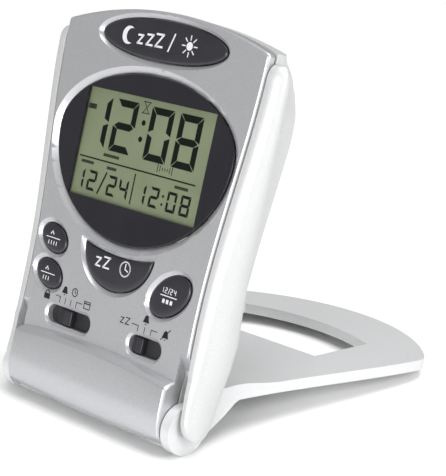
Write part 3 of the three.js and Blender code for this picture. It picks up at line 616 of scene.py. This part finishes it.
def back_case():
    rows = spread(CHIN_BOTTOM_Y + 0.3, BACK_TOP_Y, 100)
    back = loft("case_back", [back_ring(y) for y in rows], CLOCK)
    combine(back, [back_keep()], "INTERSECT")
    half = DOOR["half"] + GAP
    well = rectangle(-half, half, DOOR["bottom_y"] - GAP, DOOR["top_y"] + GAP)
    cut(back, prism("well", well, DEEP_Z, DOOR["well_z"]), arm_room(1), arm_room(-1))
    for x, y, floor in SLEEVES:
        cut(back, rod("sleeve", SLEEVE["radius"], DEEP_Z, SLEEVE[floor], x, y))
    for x, y in SOUND["holes"]:
        cut(back, rod("sound", SOUND["radius"], DEEP_Z, SOUND["z"], x, y, 20))
    soften(back, 0.3, segments=2, angle=40)
    place_piece(back, "case", BRIGHT, ["back_shell"])


def battery_lid():
    rows = spread(DOOR["bottom_y"], DOOR["top_y"], 24)
    door = loft("battery_lid", [back_ring(y, DOOR["proud"]) for y in rows], CLOCK)
    keep = rectangle(-DOOR["half"], DOOR["half"], DOOR["bottom_y"] - 1, DOOR["top_y"] + 1)
    combine(door, [prism("keep", keep, DEEP_Z, DOOR["inner_z"])], "INTERSECT")
    for drop in GRIP["drops"]:
        y = DOOR["top_y"] - drop
        rib = rectangle(-GRIP["half"], GRIP["half"], y - GRIP["rib_half"], y + GRIP["rib_half"])
        cut(door, prism("grip", rib, DEEP_Z, GRIP["z"]))
    soften(door, 0.2, segments=2, angle=40)
    place_piece(door, "door", BRIGHT, ["battery_door"])


# ------------------------------------------------------------ cover
COVER_EDGE_Y = CHIN_TOP_Y + 0.7
COVER_SIDE = [
    (EAR_OUTER, COVER_EDGE_Y - CHIN_ARCH), (EAR_OUTER + 0.3, 32),
    (COVER_CORNER_HALF - 1.2, 58), (COVER_CORNER_HALF - 0.1, COVER_CORNER_Y - 3),
]
FAR_EDGE_SHARE = 0.95
# (y, rise above the plate) of the outside near the hinge
CREST = [(34, 0), (29, 0), (24, 0.4), (18, 1.1), (12, 1.0), (9, 0.7)]
CREST_END_Y = 8.0
PLATE_NEAR_Y = 6
COVER_ABOVE_Z = 12
EAR_ARC = (math.pi * 0.42, math.pi * 1.86)
# the arm's outline before and after the round ear
ARM_SHOULDER = [(6.4, 7.6)]
ARM_THROAT = [(8.5, -0.8), (12.2, 1.4), (15.5, 3.9), (17.4, COVER_INNER_Z), (34, COVER_INNER_Z)]
LIP = {"half": 3.5, "above_arch": 0.3, "overlap": 0.2}


def bezier(stops, t):
    weights = ((1 - t) ** 3, 3 * t * (1 - t) ** 2, 3 * t * t * (1 - t), t ** 3)
    return tuple(sum(w * stop[k] for w, stop in zip(weights, stops)) for k in (0, 1))


def cover_corner(start, end):
    """The rounded corner between a side of the cover and its far edge."""
    bend = (COVER_CORNER_HALF, COVER_CORNER_Y)
    points = []
    for t in spread(0, 1, 8)[1:-1]:
        weights = ((1 - t) ** 2, 2 * t * (1 - t), t * t)
        points.append(tuple(sum(w * p[k] for w, p in zip(weights, (start, bend, end))) for k in (0, 1)))
    return points


def cover_outline():
    radius = arch_radius(COVER_CORNER_HALF, COVER_LENGTH - COVER_CORNER_Y)
    swing = math.asin(COVER_CORNER_HALF / radius) * FAR_EDGE_SHARE
    hinge_radius = arch_radius(EAR_INNER, CHIN_ARCH)
    hinge_swing = math.asin(EAR_INNER / hinge_radius)
    middle = math.pi / 2
    right = [bezier(COVER_SIDE, t) for t in spread(0, 1, 28)]
    far = arc(0, COVER_LENGTH - radius, radius, radius, middle - swing, middle + swing, 72)
    corner = cover_corner(right[-1], far[0])
    left = [(-x, y) for x, y in reversed(right + corner)]
    near = arc(0, COVER_EDGE_Y - hinge_radius, hinge_radius, hinge_radius,
               middle + hinge_swing, middle - hinge_swing, 30)
    return right + corner + far + left + near


def window_outline():
    radius = arch_radius(WINDOW["half"], WINDOW["arch_y"] - WINDOW["corner_y"])
    swing = math.asin(WINDOW["half"] / radius)
    far = arc(0, WINDOW["arch_y"] - radius, radius, radius, math.pi / 2 - swing, math.pi / 2 + swing, 32)
    return [(-WINDOW["half"], WINDOW["bottom_y"]), (WINDOW["half"], WINDOW["bottom_y"])] + far


def crest():
    """The outside of the cover near the hinge, from the flat plate down to the ears."""
    return [(y, COVER_OUTER_Z + rise) for y, rise in smooth_curve(CREST, 8) if y > CREST_END_Y]


def cover():
    reach = COVER_LENGTH + 2
    near = [(PLATE_NEAR_Y, COVER_OUTER_Z), (PLATE_NEAR_Y, COVER_INNER_Z)]
    side = [(reach, COVER_OUTER_Z)] + crest() + near + [(reach, COVER_INNER_Z)]
    plate = side_prism("stand_cover", side, -WIDE, WIDE, STAND)
    combine(plate, [prism("outline", cover_outline(), -2, COVER_ABOVE_Z, STAND)], "INTERSECT")
    cut(plate, prism("window", window_outline(), 0, COVER_ABOVE_Z, STAND))
    arm = crest() + ARM_SHOULDER + arc(0, 0, HINGE_RADIUS, HINGE_RADIUS, *EAR_ARC, 40) + ARM_THROAT
    join(plate, side_prism("arm", arm, EAR_INNER, EAR_OUTER, STAND))
    join(plate, side_prism("arm", arm, -EAR_OUTER, -EAR_INNER, STAND))
    lip = rectangle(-LIP["half"], LIP["half"], TOP_ARCH_Y + LIP["above_arch"], CATCH_REACH)
    join(plate, prism("lip", lip, CATCH_Z, COVER_INNER_Z + LIP["overlap"], STAND))
    soften(plate, 0.8, segments=4, angle=40)
    place_piece(plate, "cover_body", COVER_PAINT, ["cover"])


# ------------------------------------------------------------ buttons and switches
CAP = {"round": 0.9, "edge_drop": 0.65, "edge_rise": 0.5, "flat_inset": 2.2}
SWITCH_PLATE = {"half_height": 2.8, "rear_z": 1.3, "front_z": 2.3}
KNOB = {"half_height": 1.8, "low_z": 3.5, "grip_from": 0.2, "grip_rear_z": 3.3, "grip_z": 4.1}


def button(name, outline, body, node):
    rows = [(outline(0), BUTTON_BOTTOM_Z)]
    for t in spread(0, math.pi / 2, 6):
        inset = CAP["round"] * (1 - math.cos(t))
        rows.append((outline(-inset), BUTTON_TOP_Z - CAP["edge_drop"] + CAP["edge_rise"] * math.sin(t)))
    rows.append((outline(-CAP["flat_inset"]), BUTTON_TOP_Z))
    cap = stack(name, rows)
    soften(cap, 0, angle=45)
    place_piece(cap, body, CHARCOAL, [node])


def buttons():
    for name, place in (("snooze", SNOOZE), ("hour", HOUR), ("minute", MINUTE), ("year", YEAR)):
        button(name + "_cap", partial(ellipse, place), name + "_key", name + "_button")
    button("nap_cap", nap_outline, "nap_key", "nap_button")


def switch(name, place):
    """A slider with its knob, below a slot in the face."""
    body = name + "_switch"
    x = place["knob_x"]
    half = place["knob_half"]
    tall = SWITCH_PLATE["half_height"]
    shape = rectangle(x - place["left"], x + place["right"], SLOT_Y - tall, SLOT_Y + tall)
    plate = prism(name + "_plate", shape, SWITCH_PLATE["rear_z"], SWITCH_PLATE["front_z"])
    # the plate takes the darker copy of the knob's plastic: painted shade in the slot
    place_piece(soften(plate, 0.15, segments=2), body, SLOT_SHADE_PLASTIC, [name + "_slider"])
    low_y = SLOT_Y - KNOB["half_height"]
    high_y = SLOT_Y + KNOB["half_height"]
    foot = rectangle(x - half, x + half, low_y, high_y)
    knob = prism(name + "_knob", foot, SWITCH_PLATE["front_z"], KNOB["low_z"])
    grip = rectangle(x - KNOB["grip_from"], x + half, low_y, high_y)
    join(knob, prism("grip", grip, KNOB["grip_rear_z"], KNOB["grip_z"]))
    place_piece(soften(knob, 0.3, angle=40), body, CHARCOAL)


# ------------------------------------------------------------ display
LENS_EDGE = [(0, 3.2), (0, LENS_TOP_Z - 0.25), (-0.12, LENS_TOP_Z - 0.07), (-0.4, LENS_TOP_Z)]


def screen_rectangle(grow):
    half = SCREEN["half"] + grow
    return rectangle(-half, half, SCREEN["bottom_y"] - grow, SCREEN["top_y"] + grow)


def lens():
    pane = stack("display_lens", [(lens_outline(grow), z) for grow, z in LENS_EDGE])
    cut(pane, prism("view", screen_rectangle(0), 0, LENS_TOP_Z + 1))
    soften(pane, 0, angle=40)
    place_piece(pane, "case", SMOKE, ["lens"])


def ring_of(x, y, radius, steps):
    return arc(x, y, radius, radius, 0, 2 * math.pi, steps)


class Print:
    """Collects flat marks at one height and makes them one piece."""

    def __init__(self, name, z, body, material, slot):
        self.name = name
        self.z = z
        self.body = body
        self.material = material
        self.slot = slot
        self.points = []
        self.faces = []

    def add(self, outline):
        count = len(outline)
        first = len(self.points)
        for z in (self.z, self.z + INK):
            self.points += [(x, y, z) for x, y in outline]
        self.faces.append(tuple(first + count + i for i in range(count)))
        self.faces.append(tuple(first + i for i in reversed(range(count))))
        for i in range(count):
            j = (i + 1) % count
            self.faces.append((first + i, first + j, first + count + j, first + count + i))

    def dot(self, x, y, radius, steps):
        self.add(ring_of(x, y, radius, steps)[:-1])

    def stroke(self, points, width):
        """A line of even width with square ends through the points."""
        for (x0, y0), (x1, y1) in zip(points, points[1:]):
            length = math.hypot(x1 - x0, y1 - y0)
            ex = (x1 - x0) / length * width / 2
            ey = (y1 - y0) / length * width / 2
            self.add([(x0 + ey - ex, y0 - ex - ey), (x1 + ey + ex, y1 - ex + ey),
                      (x1 - ey + ex, y1 + ex + ey), (x0 - ey - ex, y0 + ex - ey)])

    def make(self):
        mesh = bpy.data.meshes.new(self.name)
        mesh.from_pydata(self.points, [], self.faces)
        piece = finish_mesh(self.name, mesh, CLOCK)
        return place_piece(piece, self.body, self.material)


SEGMENTS = {"0": "abcdef", "1": "bc", "2": "abged", "4": "fgbc", "8": "abcdefg"}
SEGMENT_GAP = 0.12
MITRE_SHARE = 0.4
MIDDLE_SHARE = 0.15


def level_segment(letter, width, height, thick):
    """A level bar of a seven-segment digit: a at the top, g in the middle, d at the bottom."""
    gap = thick * SEGMENT_GAP
    mitre = thick + gap * MITRE_SHARE
    if letter == "g":
        half = height / 2
        tip = gap + thick * MIDDLE_SHARE
        return [(tip, half), (thick, half + thick / 2), (width - thick, half + thick / 2),
                (width - tip, half), (width - thick, half - thick / 2), (thick, half - thick / 2)]
    outer = height if letter == "a" else 0
    inner = height - thick if letter == "a" else thick
    return [(gap, outer), (width - gap, outer), (width - mitre, inner), (mitre, inner)]


def upright_segment(letter, width, height, thick):
    """An upright bar of a seven-segment digit: b and c at the right, f and e at the left."""
    gap = thick * SEGMENT_GAP
    outer = width if letter in "bc" else 0
    inner = width - thick if letter in "bc" else thick
    lower = letter in "ec"
    low = 0 if lower else height / 2
    high = height / 2 if lower else height
    low_cut = (thick if lower else thick / 2) + gap * MITRE_SHARE
    high_cut = (thick / 2 if lower else thick) + gap * MITRE_SHARE
    return [(outer, low + gap), (outer, high - gap), (inner, high - high_cut), (inner, low + low_cut)]


def digit(target, text, x, y, size):
    """A seven-segment digit whose lower left corner is at a place. Its size is (width, height, thickness)."""
    for letter in SEGMENTS[text]:
        bar = level_segment if letter in "agd" else upright_segment
        target.add([(x + u, y + v) for u, v in bar(letter, *size)])


GLASS = {"grow": 1.4, "rear_z": 2.3}
# rows of figures on the display: (figure, x) pairs, baseline y, and (width, height, thickness)
FIGURES = [
    ((("1", -22.6), ("2", -12.8), ("0", 0.0), ("8", 10.1)), 59.5, (8.0, 13.2, 1.75)),
    ((("1", -22.6), ("2", -17.9), ("2", -10.4), ("4", -6.0)), 48.5, (3.3, 5.1, 0.72)),
    ((("1", 0.4), ("2", 5.2), ("0", 11.4), ("8", 16.1)), 48.7, (3.3, 5.0, 0.72)),
]
# colons: x, the heights of both dots, radius and points round each dot
COLONS = [(-2.1, (68.2, 64.1), 0.7, 16), (9.9, (52.1, 50.1), 0.35, 12)]
DATE_SLASH = [(-13.4, 48.4), (-11.4, 53.8)]
LEVEL_RULE = [(-22.4, 56.6), (19.6, 56.6)]
UPRIGHT_RULE = [(-1.1, 48.2), (-1.1, 55.4)]
# hourglass between the figures of the time
HOURGLASS = {"caps": ((-3.4, -0.8), (73.4, 70.6)), "sides": (-3.1, -1.1, 73.3, 70.7)}
WAVES = {"x": 6.0, "y": 58.4, "step": 0.85, "halves": (0.9, 0.6, 0.25, 0.25, 0.25, 0.6, 0.9)}
# short bars in place of the small words: x, y and how many
WORD_BARS = [(-22.4, 69.4, 2), (-13.6, 58.2, 5), (-21.2, 55.4, 4), (-11.4, 55.2, 3), (13.4, 55.1, 4)]
BAR = {"step": 1.15, "length": 0.5, "thick": 0.75, "thick_pair": 1.3}


def screen():
    glass = prism("display_screen", screen_rectangle(GLASS["grow"]), GLASS["rear_z"], SCREEN_Z)
    place_piece(soften(glass, 0), "case", SCREEN_GLASS)


def display_digits():
    marks = Print("display_digits", SCREEN_Z, "case", SEGMENT, "lcd_glass")
    for figures, y, size in FIGURES:
        for text, x in figures:
            digit(marks, text, x, y, size)
    for x, heights, radius, steps in COLONS:
        for y in heights:
            marks.dot(x, y, radius, steps)
    marks.stroke(DATE_SLASH, 0.5)
    marks.stroke(LEVEL_RULE, 0.36)
    marks.stroke(UPRIGHT_RULE, 0.4)
    marks.make()


def display_signs():
    """An hourglass, sound waves and short bars."""
    small = Print("display_signs", SCREEN_Z, "case", FAINT, "lcd_glass")
    (left, right), heights = HOURGLASS["caps"]
    for y in heights:
        small.stroke([(left, y), (right, y)], 0.25)
    left, right, top, bottom = HOURGLASS["sides"]
    small.stroke([(left, top), (right, bottom)], 0.22)
    small.stroke([(right, top), (left, bottom)], 0.22)
    for i, half in enumerate(WAVES["halves"]):
        x = WAVES["x"] + i * WAVES["step"]
        small.stroke([(x, WAVES["y"] - half), (x, WAVES["y"] + half)], 0.26)
    for x, y, count in WORD_BARS:
        thick = BAR["thick"] if count > 2 else BAR["thick_pair"]
        for i in range(count):
            start = x + i * BAR["step"]
            small.stroke([(start, y), (start + BAR["length"], y)], thick)
    small.make()


# ------------------------------------------------------------ printed signs
def moon(target, x, y, size):
    outer = arc(x, y, size, size, math.radians(50), math.radians(310), 16)
    inner = arc(x + size * 0.45, y, size * 0.8, size * 0.8, math.radians(73), math.radians(287), 16)
    for i in range(16):
        target.add([outer[i], outer[i + 1], inner[i + 1], inner[i]])


def letter_z(target, x, y, size, width):
    right = x + size * 0.8
    target.stroke([(x, y + size), (right, y + size)], width)
    target.stroke([(right, y + size), (x, y)], width)
    target.stroke([(x, y), (right, y)], width)


def lamp(target, x, y, size):
    target.dot(x, y, size * 0.42, 20)
    near = ring_of(x, y, size * 0.62, 8)
    far = ring_of(x, y, size, 8)
    for start, end in zip(near[:-1], far):
        target.stroke([start, end], 0.3)


def arrow(target, x, y, size, turn, width=0.28):
    tip = (x + size * math.cos(turn), y + size * math.sin(turn))
    barb = size * 1.2
    for swing in (2.5, -2.5):
        end = (tip[0] + barb * math.cos(turn + swing), tip[1] + barb * math.sin(turn + swing))
        target.stroke([tip, end], width)


def padlock(target, x, y):
    target.add(rectangle(x - 1.1, x + 1.1, y - 0.9, y + 0.5))
    target.stroke(arc(x, y + 0.5, 0.7, 0.8, 0, math.pi, 10), 0.24)


def bell(target, x, y):
    dome = arc(x, y + 0.1, 0.75, 0.95, 0, math.pi, 14)
    target.add(dome + [(x - 1.1, y - 0.75), (x + 1.1, y - 0.75)])
    target.add(arc(x, y - 1.0, 0.28, 0.28, math.pi, 2 * math.pi, 8))


def clock_face(target, x, y):
    target.stroke(ring_of(x, y, 1.0, 20), 0.22)
    target.stroke([(x, y + 0.65), (x, y), (x + 0.5, y - 0.2)], 0.2)


def calendar(target, x, y):
    page = rectangle(x - 1.1, x + 1.1, y - 0.9, y + 0.9)
    target.stroke(page + page[:1], 0.22)
    target.stroke([(x - 1.1, y + 0.4), (x + 1.1, y + 0.4)], 0.3)


# sleep letters on a button: (x, size) of each, the line they stand on, and the width of the stroke
SNOOZE_LETTERS = {"letters": ((-8.6, 2.0), (-5.4, 2.5), (-2.2, 3.0)), "y": SNOOZE["y"] - 1.5, "width": 0.5}
NAP_LETTERS = {"letters": ((-6.8, 2.0), (-4.0, 2.6)), "y": 31.3, "width": 0.42}
SNOOZE_MOON = {"x": -12.2, "size": 2.3}
SNOOZE_SLASH = {"x": 3.3, "lean": 0.7, "tall": 2.1, "width": 0.45}
SNOOZE_LAMP = {"x": 9.6, "size": 2.5}
NAP_CLOCK = {"x": 3.9, "y": 32.5, "radius": 1.8, "rim": 0.36, "hand": 0.32}
NAP_CLOCK_HANDS = [(0, 1.2), (0, 0), (1.0, -0.4)]


def sleep_letters(target, row):
    for x, size in row["letters"]:
        letter_z(target, x, row["y"], size, row["width"])


def snooze_sign():
    sign = Print("snooze_sign", BUTTON_TOP_Z, "snooze_key", WHITE_INK, "dark_plastic")
    y = SNOOZE["y"]
    moon(sign, SNOOZE_MOON["x"], y, SNOOZE_MOON["size"])
    sleep_letters(sign, SNOOZE_LETTERS)
    lean = SNOOZE_SLASH["lean"]
    tall = SNOOZE_SLASH["tall"]
    slash = [(SNOOZE_SLASH["x"] + way * lean, y + way * tall) for way in (-1, 1)]
    sign.stroke(slash, SNOOZE_SLASH["width"])
    lamp(sign, SNOOZE_LAMP["x"], y, SNOOZE_LAMP["size"])
    sign.make()


def nap_sign():
    sign = Print("nap_sign", BUTTON_TOP_Z, "nap_key", WHITE_INK, "dark_plastic")
    sleep_letters(sign, NAP_LETTERS)
    x = NAP_CLOCK["x"]
    y = NAP_CLOCK["y"]
    sign.stroke(ring_of(x, y, NAP_CLOCK["radius"], 24), NAP_CLOCK["rim"])
    sign.stroke([(x + u, y + v) for u, v in NAP_CLOCK_HANDS], NAP_CLOCK["hand"])
    sign.make()


# marks on the small round buttons, measured from each button's middle
TIME_RULE = {"half": 2.6, "width": 0.22}
TIME_ARROW = {"x": -0.6, "y": 0.9, "size": 0.75}
TIME_BARS = {"x": -1.4, "top": -0.9, "bottom": -1.7, "width": 0.26}
YEAR_RULE = {"half": 2.7, "width": 0.24}
YEAR_FIGURES = [("1", -2.8), ("2", -1.6), ("2", 0.3), ("4", 1.5)]
YEAR_FIGURE = {"y": 0.6, "size": (0.75, 1.4, 0.2)}
YEAR_SLASH = {"points": ((-0.42, 0.6), (-0.02, 2.0)), "width": 0.18}
YEAR_BLOCKS = {"starts": (-1.8, -0.5, 0.8), "wide": 0.8, "bottom": -1.8, "top": -0.8}


def time_sign(name, place, bars):
    """A rule with an arrow above it and a row of short bars below it."""
    sign = Print(name + "_sign", BUTTON_TOP_Z, name + "_key", WHITE_INK, "dark_plastic")
    x = place["x"]
    y = place["y"]
    sign.stroke([(x - TIME_RULE["half"], y), (x + TIME_RULE["half"], y)], TIME_RULE["width"])
    arrow(sign, x + TIME_ARROW["x"], y + TIME_ARROW["y"], TIME_ARROW["size"], math.pi / 2)
    for i in range(bars):
        across = x + TIME_BARS["x"] + i
        sign.stroke([(across, y + TIME_BARS["top"]), (across, y + TIME_BARS["bottom"])], TIME_BARS["width"])
    sign.make()


def year_sign():
    sign = Print("year_sign", BUTTON_TOP_Z, "year_key", WHITE_INK, "dark_plastic")
    x = YEAR["x"]
    y = YEAR["y"]
    sign.stroke([(x - YEAR_RULE["half"], y), (x + YEAR_RULE["half"], y)], YEAR_RULE["width"])
    for text, offset in YEAR_FIGURES:
        digit(sign, text, x + offset, y + YEAR_FIGURE["y"], YEAR_FIGURE["size"])
    sign.stroke([(x + u, y + v) for u, v in YEAR_SLASH["points"]], YEAR_SLASH["width"])
    for start in YEAR_BLOCKS["starts"]:
        left = x + start
        right = left + YEAR_BLOCKS["wide"]
        sign.add(rectangle(left, right, y + YEAR_BLOCKS["bottom"], y + YEAR_BLOCKS["top"]))
    sign.make()


SIGN_FOOT_Y = 19.3
# lead lines of both switches: x, the height they rise to, and where a bent one ends
LEADS = [
    (-16.9, 20.7, -18.6), (-14.8, 20.7, None), (-12.7, 20.7, None), (-10.6, 20.7, -8.6),
    (12.6, 20.6, 10.4), (14.9, 20.6, None), (17.2, 20.6, 19.2),
]


SWITCH_SIGNS = [
    (padlock, -22.0, 19.9), (bell, -15.6, 22.6), (clock_face, -11.9, 22.9), (calendar, -6.6, 20.8),
    (bell, 14.9, 22.6), (bell, 22.2, 20.6),
]
OFF_LETTERS = {"letters": ((6.2, 1.3), (8.0, 1.6)), "y": 19.9, "width": 0.24}
STRIKE = [(20.9, SIGN_FOOT_Y), (23.5, 22.1)]


def switch_signs():
    labels = Print("switch_signs", FACE_Z, "case", BLACK_INK, "silver_case")
    for x, top, end in LEADS:
        labels.stroke([(x, SIGN_FOOT_Y), (x, top)], 0.2)
        if end is not None:
            labels.stroke([(x, top), (end, top)], 0.2)
    for draw, x, y in SWITCH_SIGNS:
        draw(labels, x, y)
    sleep_letters(labels, OFF_LETTERS)
    labels.stroke(STRIKE, 0.24)
    labels.make()


# ------------------------------------------------------------ carried-over CAD nodes
def node_materials():
    """A material for each of the record's slots."""
    return {
        "silver_case": SILVER,
        "pale_rail": BRIGHT,
        "smoked_lens": SMOKE,
        "lcd_glass": SCREEN_GLASS,
        "dark_plastic": CHARCOAL,
        "steel": metallic("zinc_steel", (0.42, 0.42, 0.44), (0.6, 0.6, 0.62), (0.28, 0.42)),
        "nickel": metallic("nickel_plate", (0.5, 0.48, 0.45), (0.68, 0.66, 0.62), (0.18, 0.3)),
        "brass": metallic("brass_sheet", (0.52, 0.36, 0.12), (0.66, 0.48, 0.18), (0.24, 0.36)),
        "grey_silicone": moulded("grey_silicone", (0.28, 0.30, 0.32), (0.36, 0.39, 0.41), (0.6, 0.75)),
        "white_plastic": moulded("white_plastic", (0.7, 0.7, 0.66), (0.8, 0.8, 0.76), (0.4, 0.5)),
        "green_board": moulded(
            "board_mask", (0.02, 0.11, 0.035), (0.03, 0.15, 0.05), (0.35, 0.5), grain=1200),
        "black_epoxy": moulded("black_resin", (0.008, 0.008, 0.009), (0.014, 0.014, 0.015), (0.2, 0.3)),
        "amber_led": moulded("amber_resin", (0.6, 0.38, 0.1), (0.72, 0.5, 0.16), (0.1, 0.2)),
        "battery_label": moulded("cell_sleeve", (0.03, 0.09, 0.26), (0.045, 0.12, 0.32), (0.25, 0.35)),
        "red_wire": moulded("red_insulation", (0.38, 0.02, 0.015), (0.46, 0.035, 0.02), (0.4, 0.5)),
        "black_wire": moulded("black_insulation", (0.015, 0.015, 0.016), (0.025, 0.025, 0.026), (0.4, 0.5)),
    }


def paint_nodes():
    slots = node_materials()
    for part in frame["record"]["subparts"]:
        node = frame["nodes"][part["node"]]
        node.data.materials.clear()
        node.data.materials.append(slots[part["material_slot"]])


# ------------------------------------------------------------ floor, light and camera, in metres
FLOOR_REACH = 6.0
FLOOR_TONES = [(0.3, (0.86, 0.86, 0.86)), (0.7, (0.88, 0.88, 0.88))]
WORLD_STRENGTH = 0.27
AIM = Vector((0, 0, 0.05))
# soft lights: name, place, width and height, and power in watts
PANELS = [
    ("key_right", (0.85, 0.08, 0.42), (0.4, 0.4), 4.6),
    ("front_panel", (0.32, -0.85, 0.24), (0.4, 0.4), 6.6),
]
OVERHEAD = {"place": (0.15, 0.15, 1.0), "spread": 50, "strength": 2.8}
# azimuth from -Y towards +X, and elevation above the table, both in degrees
VIEW = {"azimuth": 45.35, "elevation": 17.18, "distance": 0.4014, "aim_side": 0.03062, "aim_up": 0.04689}
SENSOR_HEIGHT = 36
LENS_LENGTH = 125.607
NEAREST = 0.01
FARTHEST = 20


def floor():
    material, nodes, links, shader = new_material("studio_floor")
    tone = noise(nodes, links, 3.0, detail=2.0)
    links.new(ramp(nodes, links, tone, FLOOR_TONES), shader.inputs["Base Color"])
    shader.inputs["Roughness"].default_value = 0.6
    mesh = bpy.data.meshes.new("studio_floor")
    corners = [(x, y, 0) for x, y in rectangle(-FLOOR_REACH, FLOOR_REACH, -FLOOR_REACH, FLOOR_REACH)]
    mesh.from_pydata(corners, [], [(0, 1, 2, 3)])
    obj = bpy.data.objects.new("studio_floor", mesh)
    bpy.context.scene.collection.objects.link(obj)
    obj.data.materials.append(material)


def hang(name, data, place, power):
    """A light at a place, aimed at the middle of the clock."""
    data.energy = power
    light = bpy.data.objects.new(name, data)
    bpy.context.scene.collection.objects.link(light)
    light.location = place
    light.rotation_euler = (AIM - Vector(place)).to_track_quat("-Z", "Y").to_euler()


def lights():
    world = bpy.data.worlds.new("studio")
    bpy.context.scene.world = world
    world.use_nodes = True
    background = world.node_tree.nodes["Background"]
    background.inputs["Color"].default_value = (1, 1, 1, 1)
    background.inputs["Strength"].default_value = WORLD_STRENGTH
    for name, place, (wide, tall), power in PANELS:
        data = bpy.data.lights.new(name, "AREA")
        data.shape = "RECTANGLE"
        data.size = wide
        data.size_y = tall
        hang(name, data, place, power)
    sky = bpy.data.lights.new("overhead", "SUN")
    sky.angle = math.radians(OVERHEAD["spread"])
    hang("overhead", sky, OVERHEAD["place"], OVERHEAD["strength"])


def camera():
    azimuth = math.radians(VIEW["azimuth"])
    elevation = math.radians(VIEW["elevation"])
    right = Vector((math.cos(azimuth), math.sin(azimuth), 0))
    level = Vector((math.sin(azimuth), -math.cos(azimuth), 0))
    back = level * math.cos(elevation) + Vector((0, 0, math.sin(elevation)))
    aim = right * VIEW["aim_side"] + Vector((0, HINGE.y, VIEW["aim_up"]))
    data = bpy.data.cameras.new("photo_view")
    data.sensor_fit = "VERTICAL"
    data.sensor_height = SENSOR_HEIGHT
    data.lens = LENS_LENGTH
    data.clip_start = NEAREST
    data.clip_end = FARTHEST
    view = bpy.data.objects.new("photo_view", data)
    bpy.context.scene.collection.objects.link(view)
    turn = back.to_track_quat("Z", "Y").to_matrix().to_4x4()
    view.matrix_world = Matrix.Translation(aim + back * VIEW["distance"]) @ turn
    bpy.context.scene.camera = view


front_case()
chin()
side_rail(-1)
side_rail(1)
back_case()
battery_lid()
cover()
buttons()
switch("mode", MODE)
switch("alarm", ALARM)
lens()
screen()
display_digits()
display_signs()
snooze_sign()
nap_sign()
time_sign("hour", HOUR, 4)
time_sign("minute", MINUTE, 3)
year_sign()
switch_signs()
paint_nodes()
floor()
lights()
camera()
bpy.context.scene.view_settings.view_transform = "Standard"
